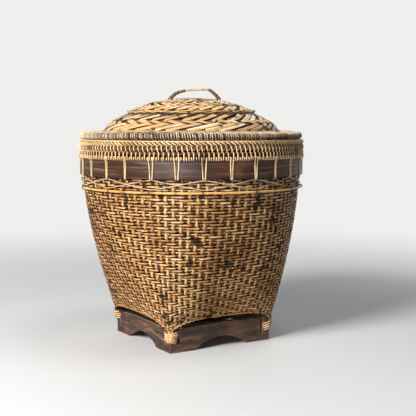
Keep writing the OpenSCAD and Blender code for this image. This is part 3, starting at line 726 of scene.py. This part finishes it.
class BASKET_OT_border(bpy.types.Operator):
    """Makes the openwork border: three hoops, the loops over them and the plaited edging of the rim"""

    bl_idname = "basket.border"
    bl_label = "Bind the border and the rim"

    def execute(self, context):
        straw = cane("border_straw", (0.92, 0.74, 0.49), (0.70, 0.45, 0.19), 0.55, 0.8, shine=0.36, edge=0.6)
        brown = cane("border_brown", (0.12, 0.045, 0.016), (0.045, 0.018, 0.008), 0.6, 0.8, shine=0.45)
        russet = cane("border_russet", (0.42, 0.185, 0.06), (0.18, 0.07, 0.022), 0.6, 0.8, shine=0.45)
        nodes = ("border_hoop_lower", "border_hoop_middle", "border_hoop_upper")
        boxes = [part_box(node) for node in nodes]
        heights = [(low.z + high.z) / 2 for low, high in boxes]
        thick = boxes[0][1].z - boxes[0][0].z
        radius = boxes[0][1].x - thick / 2
        piece = hoop("border_hoops", brown, radius, heights, thick * 0.94, seed=4)
        settle(piece, "basket", "brown_cane", *nodes)
        count = context.scene.basket_sizes.border_loops
        pitch = TURN / count
        r = radius / MM
        low, mid, top = (value / MM for value in heights)
        bars = (
            ("border_upper_loops", straw, 0.0, 2.05, 1.3,
             [(r - 0.8, top + 4.6, -0.9), (r + 2.4, top + 2.9, -0.6), (r + 3.2, top, 0.0),
              (r + 2.6, top - 3.2, 0.5), (r - 0.6, top - 5.0, 0.8)], (r, top)),
            ("border_upper_backs", russet, 0.5, 2.2, 1.1,
             [(r - 1.4, top + 3.0, 2.1), (r + 1.5, top + 2.3, 1.4), (r + 2.5, top, 0.0),
              (r + 1.5, top - 2.3, -1.4), (r - 1.4, top - 3.0, -2.1)], (r, top)),
            ("border_lower_loops", straw, 0.35, 2.05, 1.3,
             [(r - 0.9, mid + 2.3, 0.0), (r + 1.9, mid + 1.7, 0.0), (r + 3.0, mid, 0.0),
              (r + 2.7, (mid + low) / 2, 0.1), (r + 3.0, low + 0.2, 0.0), (r + 1.9, low - 2.0, 0.0),
              (r - 0.9, low - 2.6, 0.0)], (r - 1.0, (mid + low) / 2)),
            ("border_lower_dots", straw, 0.85, 2.0, 1.2,
             [(r - 1.2, low + 2.4, 0.0), (r + 1.6, low + 2.0, 0.0), (r + 2.6, low, 0.0), (r + 1.6, low - 2.1, 0.0),
              (r - 1.0, low - 2.7, 0.0)], (r, low)),
        )
        for seed, (name, finish, phase, width, thickness, stops, core) in enumerate(bars):
            piece = loops(name, finish, count, stops, core, width, thickness, 12, pitch * phase, pitch * 0.06,
                          seed=seed + 11, dark=0.35)
            settle(piece, "basket", "pale_cane")
        core = (EDGING_HIGH.x - 0.00555) / MM, (EDGING_LOW.z + EDGING_HIGH.z) / 2 / MM
        for name, finish, phase, width, sink, seed in (
            ("rim_edging_plait", straw, 0.0, 2.5, 0.0, 21), ("rim_edging_under", brown, 0.5, 3.4, 0.9, 22)
        ):
            stops = bend_round(core, (4.85 - sink, 3.65 - sink), -80, 27, 13, shift=3.4, drift=-2.6)
            piece = loops(name, finish, count, stops, core, width, 1.5, 18, pitch * phase, pitch * 0.06,
                          seed=seed, dark=1.05)
            settle(piece, "basket", "pale_cane", "rim_edging")
        line_r, line_z = EDGING_HIGH.x - 0.0020, EDGING_HIGH.z - 0.0012
        piece = hoop("rim_edging_line", straw, line_r, [line_z], 0.0018, 300, wander=0.0005, seed=23)
        settle(piece, "basket", "pale_cane", "rim_edging")
        return {"FINISHED"}


def planed(name, node, finishes, worn):
    """A copy of a wooden solid with its edges worn round; the worn edges take the second finish."""
    mesh = bpy.data.meshes.new(name)
    form = bmesh.new()
    form.from_mesh(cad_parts[node].data)
    bmesh.ops.remove_doubles(form, verts=form.verts, dist=2e-6)
    bmesh.ops.dissolve_limit(form, angle_limit=math.radians(0.6), verts=form.verts, edges=form.edges)
    for face in form.faces:
        face.material_index = 0
    sharp = [
        edge for edge in form.edges
        if len(edge.link_faces) == 2 and edge.calc_length() > MM and edge.calc_face_angle() > math.radians(35)
    ]
    bmesh.ops.bevel(
        form, geom=sharp, offset=worn, offset_type="OFFSET", segments=2, profile=0.6, affect="EDGES",
        clamp_overlap=True, material=1,
    )
    bmesh.ops.triangulate(form, faces=form.faces)
    form.to_mesh(mesh)
    form.free()
    for finish in finishes:
        mesh.materials.append(finish)
    mesh.shade_smooth()
    mesh.set_sharp_from_angle(angle=math.radians(32))
    return new_piece(name, mesh)


class BASKET_OT_band(bpy.types.Operator):
    """Makes the dark bent-wood band, its lashings, the crossing strands and the hoop round the waist"""

    bl_idname = "basket.band"
    bl_label = "Fit the band and the waist"

    def execute(self, context):
        sizes, paints = context.scene.basket_sizes, context.scene.basket_colours
        dark = wood(
            "band_wood", paints.band_wood, (0.008, 0.003, 0.0018), (0.20, 0.085, 0.046), (5.0, 5.0, 560.0), 0.42,
            gloss=0.2, streaks=0.6,
        )
        worn = wood("band_edge", (0.12, 0.05, 0.026), paints.band_wood, (0.26, 0.14, 0.085), (7.0, 7.0, 330.0), 0.42)
        piece = planed("wood_band_planed", "wood_band", (dark, worn), 0.0005)
        settle(piece, "basket", "dark_wood", "wood_band")
        straw = cane("lashing_straw", paints.straw, (0.64, 0.44, 0.22), 0.3, 0.5, shine=0.4)
        grey = cane("weathered_strand", (0.68, 0.54, 0.39), (0.44, 0.32, 0.205), 0.5, 0.5, shine=0.5)
        knotted = cane("waist_tie_brown", (0.13, 0.07, 0.035), (0.06, 0.03, 0.015), 0.4, 0.5, shine=0.5)
        gold = cane(
            "waist_cane", (0.80, 0.50, 0.18), (0.58, 0.31, 0.09), 0.4, 0.4, shine=0.3, joints=0.16, edge=0.15
        )
        face, low, high = BAND_HIGH.x / MM, BAND_LOW.z / MM, BAND_HIGH.z / MM
        stops = [(face - 1.4, high + 6.2, 3.0), (face + 2.2, high + 5.2, 3.0), (face + 2.7, high + 3.2, 2.9),
                 (face + 1.7, high - 0.6, 2.7), (face + 0.8, high - 4.5, 2.5), (face + 0.7, low + 6.0, 1.7),
                 (face + 0.8, low + 0.6, 1.4), (face - 0.2, low - 1.3, 1.3), (face - 2.9, low - 0.9, 1.2)]
        pitch = TURN / sizes.lashings
        piece = loops("band_lashing_pairs", straw, sizes.lashings, stops, None, 2.0, 1.3, 26, LASHING_TURN,
                      pitch * 0.04, True, seed=8, dark=0.25)
        settle(piece, "basket", "pale_cane", "band_lashings")
        peaks = sizes.lashings / 4

        def crossing(net, size, strand, step):
            lap = step * (2.0 * peaks)
            part = lap % 1.0
            odd = lap.floor() % 2.0
            zig = part + (1.0 - 2.0 * part) * odd
            rounded = 0.5 - (zig * math.pi).cos() * 0.5
            share = zig * 0.88 + rounded * 0.12
            share = share + (1.0 - 2.0 * share) * strand
            height = size["Low"] + (size["High"] - size["Low"]) * share
            turn = size["Start Angle"] + step * TURN
            cos, sin = turn.cos(), turn.sin()
            over = (odd + strand) % 2.0
            radius = wall_section(size, abs(cos), abs(sin), height)[0] + size["Thickness"] * 0.6
            radius = radius + over * (zig * math.pi).sin() * size["Thickness"] * 1.05
            return {"at": net.ring(radius, cos, sin, height), "out": net.vector(cos, sin, 0.0)}

        low_box, high_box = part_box("cross_lashing_outer")
        spec = wall_sizes(sizes, 0.0016, 0.0014)
        spec.update({"Low": low_box.z - 0.0002, "High": high_box.z + 0.0012, "Start Angle": LASHING_TURN})
        piece = strands("crossing_strands", grey, spec, 2, 360, crossing, closed=True, seed=6)
        settle(piece, "basket", "grey_cane", "cross_lashing_outer", "cross_lashing_inner")
        thick = WAIST_HIGH.z - WAIST_LOW.z
        waist_r, waist_z = WAIST_HIGH.x - thick / 2, (WAIST_HIGH.z + WAIST_LOW.z) / 2
        piece = hoop("waist_cane_hoop", gold, waist_r, [waist_z], thick * 0.97, 300, wander=0.0005, seed=9)
        settle(piece, "basket", "honey_rattan", "waist_hoop")
        core, reach = (waist_r / MM, waist_z / MM), thick / 2 / MM + 0.8
        stops = bend_round(core, (reach, reach), -140, 35, 9, shift=1.6, drift=-0.4)
        piece = loops("waist_tie_loops", knotted, sizes.lashings // 2, stops, core, 1.8, 1.2, 14, LASHING_TURN,
                      pitch * 0.12, seed=12)
        settle(piece, "basket", "pale_cane", "waist_ties")
        return {"FINISHED"}


def to_corner(net, corner, x, y, z):
    """A vector of the first corner, turned to the corner with this number."""
    cos, sin = (corner * QUARTER).cos(), (corner * QUARTER).sin()
    return net.vector(x * cos - y * sin, x * sin + y * cos, z)


def across_corner(net, corner, far, side, z):
    """A place at a distance from the axis along a corner's diagonal, and aside from it."""
    return to_corner(net, corner, (side - far) * DIAGONAL, (far + side) * -DIAGONAL, z)


class BASKET_OT_stand(bpy.types.Operator):
    """Makes the four worn boards of the stand and the lashings that tie its corners to the basket"""

    bl_idname = "basket.stand"
    bl_label = "Build the stand"

    def execute(self, context):
        paints = context.scene.basket_colours
        dark, light, red = (0.014, 0.006, 0.0035), (0.25, 0.14, 0.085), (0.21, 0.085, 0.036)
        for axis, names in (("x", ("front", "back")), ("y", ("right", "left"))):
            along = (11.0, 150.0, 190.0) if axis == "x" else (150.0, 11.0, 190.0)
            body = wood("stand_wood_" + axis, paints.stand_wood, dark, light, along, 0.6, red, gloss=0.34, streaks=0.55)
            worn = wood("stand_edge_" + axis, (0.26, 0.155, 0.095), paints.stand_wood, (0.48, 0.33, 0.23), along, 0.5)
            for side in names:
                piece = planed("board_" + side, "stand_board_" + side, (body, worn), 0.0012)
                settle(piece, "basket", "stand_wood", "stand_board_" + side)
        straw = cane("knot_straw", paints.straw, paints.honey, 0.45, 0.6, edge=0.85)
        corners = ("front_left", "front_right", "back_right", "back_left")
        low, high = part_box("corner_lashing_front_left")
        ties, layers, squareness = 4, 3, 2.3
        hugging = ((118.0, 33.0, 5.0), (125.0, 29.0, 5.0), (128.6, 32.0, 6.0), (129.6, 36.0, 7.0), (128.6, 39.5, 7.0),
                   (124.0, 41.0, 7.0))

        def winding(net, size, strand, step):
            corner = strand % 4.0
            second, aside = (strand / 4.0).floor(), corner > 0.5
            hand = 1.0 - 2.0 * second * (1.0 - aside)
            lap = step * (size["Turns"] - aside * 2.9) + 0.125 + second * aside * 0.5
            turn = lap * TURN * hand
            cos, sin = turn.cos(), turn.sin()
            round_off = (abs(cos) ** squareness + abs(sin) ** squareness) ** (-1.0 / squareness)
            uneven = net.wave(lap * 2.3, strand * 9.0, 0.0) - 0.5
            slim = 1.0 - aside * 0.14
            bulge = (0.6 + 1.25 * step - 0.93 * step * step + uneven * 0.1) * slim
            front = (turn - TURN * 0.625).sin()
            reach = size["Half"] * round_off * bulge
            middle = size["Middle"] - aside * 0.0018 - size["Stand Half"]
            z = size["Low"] + (size["High"] - size["Low"]) * step + uneven * 0.001
            z = z + front * size["Slant"] * hand * (1.0 + aside * 1.2) + aside * 0.0025
            return {
                "at": to_corner(net, corner, middle + reach * cos, middle + reach * sin, z),
                "out": to_corner(net, corner, cos, sin, 0.0), "tone": net.wave(lap, strand, 7.0, 1.0),
                "scale": 1.0 + uneven * 0.4 + aside * 0.12,
            }

        def tie(net, size, strand, step):
            corner = (strand / size["Ties"]).floor()
            lane = (strand - corner * size["Ties"]) / (size["Ties"] - 1.0) - 0.5
            uneven = net.random(-1.0, 1.0, strand, size["Seed"])
            far, z, fan = net.table(step, [tuple(value * MM for value in stop) for stop in hugging])
            out = to_corner(net, corner, -0.66, -0.66, -0.35)
            at = across_corner(net, corner, far, lane * fan + uneven * 0.0008, z + uneven * 0.001)
            return {"at": at, "out": out}

        def seat(net, size, strand, step):
            corner = (strand / float(layers)).floor()
            layer = strand - corner * float(layers)
            far, side = 0.1135 + layer * 0.0045, (step * 2.0 - 1.0) * 0.017
            out = to_corner(net, corner, -0.7, -0.7, 0.0)
            return {"at": across_corner(net, corner, far, side, size["Low"] + layer * 0.0016), "out": out}

        spec = {
            "Width": 0.0023, "Thickness": 0.0020, "Stand Half": BOARD_HIGH.x, "Half": 0.0096, "Middle": 0.0056,
            "Low": low.z + 0.0025, "High": high.z - 0.0022, "Turns": 5.0, "Slant": 0.0016,
        }
        piece = strands("corner_windings", straw, spec, 8, 150, winding, seed=2)
        settle(piece, "basket", "pale_cane", *("corner_lashing_" + corner for corner in corners))
        spec = {"Width": 0.0022, "Thickness": 0.0016, "Ties": float(ties)}
        piece = strands("corner_ties", straw, spec, 4 * ties, 26, tie, seed=3)
        settle(piece, "basket", "pale_cane")
        seats = cane("seat_cane", (0.09, 0.045, 0.02), (0.035, 0.016, 0.008), 0.6, 0.6, shine=0.6)
        spec = {"Width": 0.0044, "Thickness": 0.0036, "Low": BOARD_HIGH.z - 0.0022}
        piece = strands("corner_seats", seats, spec, 4 * layers, 12, seat, seed=4)
        settle(piece, "basket", "brown_cane")
        finish_nodes(wood("peg_wood", (0.12, 0.06, 0.03), dark, light, (60.0, 60.0, 60.0), 0.5), "stand_pegs")
        return {"FINISHED"}


def profile(start, end, height, leans, count=28, fineness=600):
    """Even stops along a turned profile: radius, height and how far a strip has turned; and facings.

    The leans give the strip's lean in degrees by share of the radius passed.
    """
    fine = [start + (end - start) * k / fineness for k in range(fineness + 1)]
    way, turn = [0.0], [0.0]
    for a, b in zip(fine, fine[1:]):
        leg = math.hypot(b - a, height(b) - height(a))
        way.append(way[-1] + leg)
        part = (a - start) / (end - start)
        low, high = [pair for pair in zip(leans, leans[1:]) if pair[0][0] <= part][-1]
        lean = low[1] + (high[1] - low[1]) * (part - low[0]) / (high[0] - low[0])
        turn.append(turn[-1] + leg * 2 / ((a + b) * math.tan(math.radians(lean))))
    stops, facings, at = [], [], 0
    for k in range(count):
        while at < fineness and way[at] < way[-1] * k / (count - 1):
            at += 1
        near = max(at, 1)
        rise, run = height(fine[near]) - height(fine[near - 1]), fine[near] - fine[near - 1]
        size = math.hypot(rise, run)
        stops.append((fine[at], height(fine[at]), turn[at]))
        facings.append((rise / size, -run / size, 0.0))
    return stops, facings


def on_tier(net, step, form):
    """Radius, height, turn and facing at a share of the way up a tier."""
    outward, upward, _ = net.table(step, form[1], even=True)
    return *net.table(step, form[0], even=True), outward, upward


def plait(name, finish, spec, strips, form, rows, points, seed, shade=1.0):
    """Two sets of strips that lean opposite ways over a tier; rows give, by share of the way up, which is on top."""

    def route(net, size, strand, step):
        lean = strand % 2.0
        direction = 1.0 - 2.0 * lean
        radius, height, turn, outward, upward = on_tier(net, step, form)
        loose = net.random(-1.0, 1.0, strand, size["Seed"])
        turn = (strand / 2.0).floor() * (TURN / strips) + lean * size["Offset"] + turn * direction
        sway = net.wave(step * 3.0, strand * 2.3, 6.0, 1.0) - 0.5
        turn = turn + (loose + sway * 2.0) * size["Jitter"]
        cos, sin = turn.cos(), turn.sin()
        out = net.unit(net.ring(outward, cos, sin, upward))
        ramp = net.node(
            "ShaderNodeValToRGB",
            {"stops": [(place / 100, (level,) * 3) for place, level in rows], "interpolation": "EASE"}, {0: step},
        )
        top = (net.parts(ramp)[0] * 2.0 - 1.0) * direction
        rough = net.wave(step * 5.0, strand * 3.1, 0.0) - 0.5
        rise = top * size["Lift"] - size["Depth"] + rough * size["Roughness"]
        narrow = 1.0 - (1.0 - radius / size["Foot Radius"]) * size["Taper"]
        return {
            "at": net.push(net.ring(radius, cos, sin, height), out, rise), "out": out,
            # Lift gives which strip is on top, for the painted shade of those below, and from shade - 0.07 of the way
            # up a painted shadow: under the crown's edge on the lower tier, under the coil on the crown.
            "lift": top * 0.9 + 0.1 - step.ease(shade - 0.07, shade) * 3.6,
            "scale": narrow * (1.0 + loose * 0.22 + rough * 0.5),
            "tone": (net.random(0.0, 1.0, strand, size["Seed"] + 4.0) + rough).clamp(),
        }

    return strands(name, finish, spec, 2 * strips, points, route, flat=True, seed=seed)


def lining(name, finish, form, count, width, seed):
    """Flat strips round the inside of a tier, one above another."""

    def route(net, size, strand, step):
        radius, height, _, outward, upward = on_tier(net, (strand + 0.5) / size["Strands"], form)
        cos, sin = (step * TURN).cos(), (step * TURN).sin()
        out = net.ring(outward, cos, sin, upward)
        at = net.push(net.ring(radius, cos, sin, height), out, (strand % 2.0) * -0.0005 - size["Depth"])
        return {"at": at, "out": out}

    spec = {"Width": width, "Thickness": 0.0007, "Depth": 0.0042}
    return strands(name, finish, spec, count, 160, route, closed=True, flat=True, seed=seed)


class BASKET_OT_lid(bpy.types.Operator):
    """Makes the lid: wrapped edge roll and flange, plaited lower tier and plaited crown"""

    bl_idname = "basket.lid"
    bl_label = "Plait the lid"

    def execute(self, context):
        sizes, paints = context.scene.basket_sizes, context.scene.basket_colours
        strip, golden = (
            cane(name, fade, paints.tan, stain=0.8, dip_shade=0.7, shine=0.36, edge=0.85, bright=bright, splints=2)
            for name, fade, bright in (
                ("lid_strip", (0.80, 0.575, 0.315), (0.97, 0.82, 0.62)),
                ("lid_crown_strip", (0.93, 0.66, 0.32), (0.98, 0.80, 0.52)),
            )
        )
        pale = cane("lid_edge_cane", (0.70, 0.47, 0.21), paints.tan, 0.3, 0.5)
        light = cane("roll_straw", (0.94, 0.80, 0.60), (0.46, 0.33, 0.21), 0.6, 1.0, edge=0.3)
        brown = cane("roll_brown", (0.07, 0.04, 0.025), (0.02, 0.01, 0.006), 0.7, 0.5, shine=0.45)
        # Near-black strips under the plaited tiers: painted shade that shows through the gaps of the plait.
        inner = cane("lid_shade_lining_cane", (0.045, 0.02, 0.009), (0.02, 0.009, 0.004), 0.6, 0.0, shine=0.7)
        under = plain_cane("lid_under_cane", paints.grey_tan, paints.hoop_brown)
        finish_nodes(under, "lid_rim_core", "lid_flange", "lid_collar")
        roll_r = (ROLL_HIGH.z - ROLL_LOW.z) / 2
        mid_r, mid_z = (ROLL_HIGH.x - roll_r) / MM, (ROLL_HIGH.z + ROLL_LOW.z) / 2 / MM
        foot, top = SKIRT_HIGH.x / MM, FLANGE_TOP / MM
        for label, finish, width, rise, apart, seed in (
            ("light", light, 1.55, 0.0, 1.95, 31), ("brown", brown, 2.7, -0.7, 0.0, 32)
        ):
            reach = roll_r / MM - 0.6 + rise
            stops = bend_round((mid_r, mid_z), (reach, reach), -135, 26, 10, shift=apart)
            for share, bump in ((0.12, 0.1), (0.3, 1.3), (0.48, 0.3), (0.66, 1.3), (0.84, 0.2), (0.97, 0.6)):
                stops.append((mid_r - 5.0 + (foot - mid_r + 5.0) * share, top + 0.2 + bump + rise, apart))
            wraps = sizes.roll_wraps * (1 if apart else 2)
            piece = loops("roll_wraps_" + label, finish, wraps, stops, (mid_r - 2.0, mid_z - 14.0), width, 1.5, 30,
                          0.0, TURN / wraps * 0.11, apart > 0.0, seed=seed, dark=0.95, thin=0.12, loose=0.6,
                          slant=-0.045)
            settle(piece, "lid", "grey_cane", "lid_rim_wrap")
        skirt_r, skirt_z, skirt_rise, shoulder = SKIRT_HIGH.x, SKIRT_LOW.z, 0.033, 0.088
        form = profile(
            skirt_r - 0.0004, shoulder,
            lambda r: skirt_z + skirt_rise * max(0.0, (skirt_r - r) / (skirt_r - shoulder)) ** 0.5,
            ((0.0, 12.0), (0.12, 17.0), (0.42, 31.0), (1.0, 36.0)),
        )
        spec = {
            "Width": 0.0056, "Thickness": 0.0011, "Foot Radius": skirt_r, "Jitter": 0.04, "Lift": 0.0016,
            "Depth": 0.0017, "Taper": -3.4, "Offset": TURN / sizes.plait_strips / 2, "Roughness": 0.0014,
        }
        rows = ((0, 1.0), (19, 1.0), (25, 0.0), (33, 0.0), (39, 1.0), (100, 1.0))
        piece = plait("lid_lower_tier", strip, spec, sizes.plait_strips, form, rows, 80, 41, shade=0.685)
        settle(piece, "lid", "tan_strip", "lid_skirt")
        # Near-black strips under the lower tier, painted shade in its gaps.
        piece = lining("lid_lower_shade_lining", inner, form, 7, 0.0115, 43)
        settle(piece, "lid", "tan_strip", "lid_skirt")
        crown_r, crown_foot, crown_top = CROWN_HIGH.x, CROWN_LOW.z + 0.0032, CROWN_HIGH.z
        form = profile(
            crown_r - 0.0030, 0.012,
            lambda r: crown_foot + (crown_top - crown_foot) * (1.0 - min(1.0, r / crown_r) ** 2.4),
            ((0.0, 30.0), (1.0, 36.0)),
        )
        spec.update({"Width": 0.0074, "Foot Radius": crown_r, "Jitter": 0.05, "Taper": 0.72, "Roughness": 0.0028})
        rows = ((0, 1.0), (14, 1.0), (22, 0.0), (33, 0.0), (41, 1.0), (54, 1.0), (62, 0.0), (76, 0.0), (84, 1.0),
                (100, 1.0))
        piece = plait("lid_crown_tier", golden, spec, sizes.plait_strips, form, rows, 64, 42)
        settle(piece, "lid", "tan_strip", "lid_crown")
        # Near-black strips under the crown, painted shade in its gaps.
        piece = lining("lid_crown_shade_lining", inner, form, 10, 0.0125, 44)
        settle(piece, "lid", "tan_strip", "lid_crown")

        def coil(net, size, strand, step):
            lap = step * 5.0 * TURN
            z = crown_top - 0.0006 - step * step * 0.0012
            at = net.ring(0.0008 + step * 0.0135, lap.cos(), lap.sin(), z)
            return {"at": at, "out": net.vector(0.0, 0.0, 1.0)}

        piece = strands("crown_coil", pale, {"Width": 0.0029, "Thickness": 0.0017}, 1, 130, coil, seed=45)
        settle(piece, "lid", "tan_strip", "lid_crown")
        for name, node, wander, knobby, seed in (
            ("tier_foot_cane", "skirt_binding", 0.0048, 0.7, 51), ("crown_edge_cane", "crown_edging", 0.0085, 1.4, 52)
        ):
            low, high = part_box(node)
            thick, middle = high.z - low.z, (low.z + high.z) / 2
            heights = [middle - thick * 0.2, middle + thick * 0.25]
            piece = hoop(name, pale, high.x - thick / 2, heights, thick * 0.58, 260, wander, seed, 9.0, knobby)
            settle(piece, "lid", "tan_strip", node)
        return {"FINISHED"}


class BASKET_OT_handle(bpy.types.Operator):
    """Makes the small bail on the crown and the cane wound round its legs"""

    bl_idname = "basket.handle"
    bl_label = "Fit the handle"

    def execute(self, context):
        paints = context.scene.basket_colours
        pale = cane("bail_cane", (0.72, 0.5, 0.26), paints.tan, 0.4, 0.4, shine=0.34, joints=0.045)
        light = cane("bail_wrap_light", (0.5, 0.32, 0.15), (0.3, 0.16, 0.06), 0.4, 0.4)
        brown = cane("bail_wrap_brown", (0.1, 0.05, 0.025), (0.035, 0.017, 0.009), 0.4, 0.4, shine=0.45)
        thick, shift, rise = 3.4, 5.0, 16.0
        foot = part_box("handle_bail")[1].z / MM - thick / 2 - rise
        path = ((-40.0, -2.4), (-38.5, 1.5), (-34.0, 6.0), (-29.6, 9.4), (-21.3, 12.7), (-10.7, 14.6), (0.0, 15.6),
                (8.3, 16.0), (16.0, 16.0), (21.3, 15.8), (25.5, 14.4), (28.5, 12.4), (32.0, 9.3), (35.6, 5.8),
                (39.0, 1.6), (41.2, -2.4))
        bail = [((x + shift) * MM, (z + foot) * MM, 0.0) for x, z in path]
        slopes = []
        for before, after in zip(path[:1] + path[:-1], path[1:] + path[-1:]):
            size = math.dist(before, after)
            slopes.append(((after[0] - before[0]) / size, (after[1] - before[1]) / size, 0.0))
        cos, sin = math.cos(LID_TURN), math.sin(LID_TURN)

        def along_bail(net, size, strand, step):
            x, z, _ = net.table(step, bail)
            return {"at": net.ring(x, cos, sin, z), "out": net.vector(-sin, cos, 0.0)}

        def wound(net, size, strand, step):
            share = size["Start"] + size["Room"] * step
            lap = step * size["Turns"] * TURN + size["Phase"]
            x, z, _ = net.table(share, bail)
            along, climb, _ = net.table(share, slopes, places=bail)
            across, beside = lap.cos(), lap.sin()
            reach = size["Reach"] * (1.0 - 0.25 * step)
            x, z, y = x - climb * across * reach, z + along * across * reach, beside * reach
            back = climb * across * -1.0
            out = net.vector(back * cos - beside * sin, back * sin + beside * cos, along * across)
            return {"at": net.vector(x * cos - y * sin, x * sin + y * cos, z), "out": out, "scale": 1.0 - 0.4 * step}

        spec = {"Width": thick * MM, "Thickness": thick * MM}
        piece = strands("handle_cane", pale, spec, 1, 64, along_bail, sides=10, seed=61)
        settle(piece, "lid", "tan_strip", "handle_bail")
        for side, start, room, turns in (("left", 0.035, 0.30, 7.0), ("right", 0.965, -0.235, 6.0)):
            for label, finish, phase, size, seed in (
                ("brown", brown, 0.0, 0.0026, 62), ("light", light, math.pi, 0.0017, 63)
            ):
                spec = {
                    "Width": size, "Thickness": size * 0.8, "Start": start, "Room": room, "Turns": turns,
                    "Reach": thick * MM / 2 + 0.0008, "Phase": phase,
                }
                piece = strands("handle_" + side + "_" + label, finish, spec, 1, 110, wound, seed=seed)
                settle(piece, "lid", "brown_cane", "handle_wrap_" + side)
        finish_nodes(plain_cane("knot_cane", paints.straw, paints.honey), "handle_knots")
        return {"FINISHED"}


class BASKET_OT_cores(bpy.types.Operator):
    """Gives the canes inside the rim their finish"""

    bl_idname = "basket.cores"
    bl_label = "Finish the inner canes"

    def execute(self, context):
        paints = context.scene.basket_colours
        finish_nodes(plain_cane("inner_cane", paints.honey, paints.amber), "inner_band", "rim_core")
        return {"FINISHED"}


LAMPS = (
    ("key", (-1.85, -0.68, 1.34), 0.8, 92.0, (1.0, 0.95, 0.88)),
    ("glint", (-1.46, -1.47, 0.18), 0.5, 52.0, (0.97, 0.98, 1.0)),
    ("top", (0.45, -0.5, 2.3), 0.9, 13.0, (1.0, 0.98, 0.94)),
    ("back", (1.2, 1.6, 1.2), 1.4, 4.0, (1.0, 0.98, 0.95)),
)
LAMP_AIM = Vector((0.0, 0.0, 0.2))
FLOOR_RADIUS = 9.0
FLOOR_FADE = (0.35, 1.6)
AMBIENT = 0.02
VIEW_X, VIEW_Y = 0.505, 0.863
VIEW_DISTANCE, VIEW_HEIGHT = 1.469, 0.348
VIEW_YAW, VIEW_PITCH = math.radians(1.05), math.radians(5.385)
LENS, SENSOR = 78.63, 36.0


def aim(item, direction):
    """Turns a lamp or a camera to look in a direction."""
    item.rotation_euler = direction.to_track_quat("-Z", "Y").to_euler()


class BASKET_OT_stage(bpy.types.Operator):
    """Sets the floor, the soft light and the camera"""

    bl_idname = "basket.stage"
    bl_label = "Set the stage"

    def execute(self, context):
        scene, paints = context.scene, context.scene.basket_colours
        material, net, shader = new_finish("pale_floor")
        place = net.place()
        spread = (net.noise(place, 1.6, 3.0) - 0.5).clamp() * 0.5
        net.plug(net.colour(spread, paints.floor, (0.7, 0.69, 0.68)), shader.inputs["Base Color"])
        shader.inputs["Roughness"].default_value = 0.7
        x, y, _ = net.parts(place)
        away = ((x * x + y * y) ** 0.5).ease(*FLOOR_FADE)
        glow = net.node("ShaderNodeEmission", None, {"Color": paints.backdrop, "Strength": 1.0})
        shown = {0: away * net.in_view(), 1: Wire(net, shader.outputs[0]), 2: glow}
        both = net.node("ShaderNodeMixShader", None, shown)
        net.plug(both, net.tree.nodes["Material Output"].inputs["Surface"])
        mesh = bpy.data.meshes.new("floor")
        form = bmesh.new()
        bmesh.ops.create_circle(form, cap_ends=True, segments=96, radius=FLOOR_RADIUS)
        form.to_mesh(mesh)
        form.free()
        mesh.materials.append(material)
        floor = new_piece("floor", mesh)
        for name, place, size, watts, tint in LAMPS:
            lamp = bpy.data.lights.new(name, "AREA")
            lamp.shape, lamp.size, lamp.energy, lamp.color = "DISK", size, watts, tint
            stand = new_piece(name, lamp)
            stand.location = place
            stand.visible_diffuse = name != "glint"
            aim(stand, LAMP_AIM - Vector(place))
        world = bpy.data.worlds.new("studio")
        world.use_nodes = True
        net = Net(world.node_tree)
        net.tree.nodes.clear()
        soft = net.node("ShaderNodeBackground", None, {"Color": (1.0, 1.0, 1.0), "Strength": AMBIENT})
        white = net.node("ShaderNodeBackground", None, {"Color": paints.backdrop, "Strength": 1.0})
        both = net.node("ShaderNodeMixShader", None, {0: net.in_view(), 1: soft, 2: white})
        net.node("ShaderNodeOutputWorld", None, {"Surface": both})
        scene.world = world
        toward, right = Vector((VIEW_X, VIEW_Y, 0.0)).normalized(), Vector((VIEW_Y, -VIEW_X, 0.0)).normalized()
        level = toward * math.cos(VIEW_YAW) + right * math.sin(VIEW_YAW)
        camera = new_piece("camera", bpy.data.cameras.new("camera"))
        camera.data.lens, camera.data.sensor_width = LENS, SENSOR
        camera.location = -VIEW_DISTANCE * toward + Vector((0.0, 0.0, VIEW_HEIGHT))
        aim(camera, level * math.cos(VIEW_PITCH) - Vector((0, 0, math.sin(VIEW_PITCH))))
        scene.camera = camera
        scene.view_settings.view_transform = "Standard"
        return {"FINISHED"}


STEPS = (
    BASKET_OT_stage, BASKET_OT_weave, BASKET_OT_border, BASKET_OT_band, BASKET_OT_stand, BASKET_OT_lid,
    BASKET_OT_handle, BASKET_OT_cores,
)


class BASKET_PT_panel(bpy.types.Panel):
    """Steps, sizes and colours of the basket"""

    bl_idname = "BASKET_PT_panel"
    bl_label = "Basket"
    bl_space_type = "VIEW_3D"
    bl_region_type = "UI"
    bl_category = "Basket"

    def draw(self, context):
        for step in STEPS:
            self.layout.operator(step.bl_idname)
        for group in (context.scene.basket_sizes, context.scene.basket_colours):
            for name in group.__annotations__:
                self.layout.prop(group, name)


CLASSES = (BasketSizes, BasketColours, *STEPS, BASKET_PT_panel)


def register():
    for item in CLASSES:
        bpy.utils.register_class(item)
    bpy.types.Scene.basket_sizes = bpy.props.PointerProperty(type=BasketSizes)
    bpy.types.Scene.basket_colours = bpy.props.PointerProperty(type=BasketColours)


def unregister():
    del bpy.types.Scene.basket_sizes
    del bpy.types.Scene.basket_colours
    for item in reversed(CLASSES):
        bpy.utils.unregister_class(item)


def main():
    register()
    for step in STEPS:
        group, name = step.bl_idname.split(".")
        getattr(getattr(bpy.ops, group), name)()


if __name__ == "__main__":
    main()
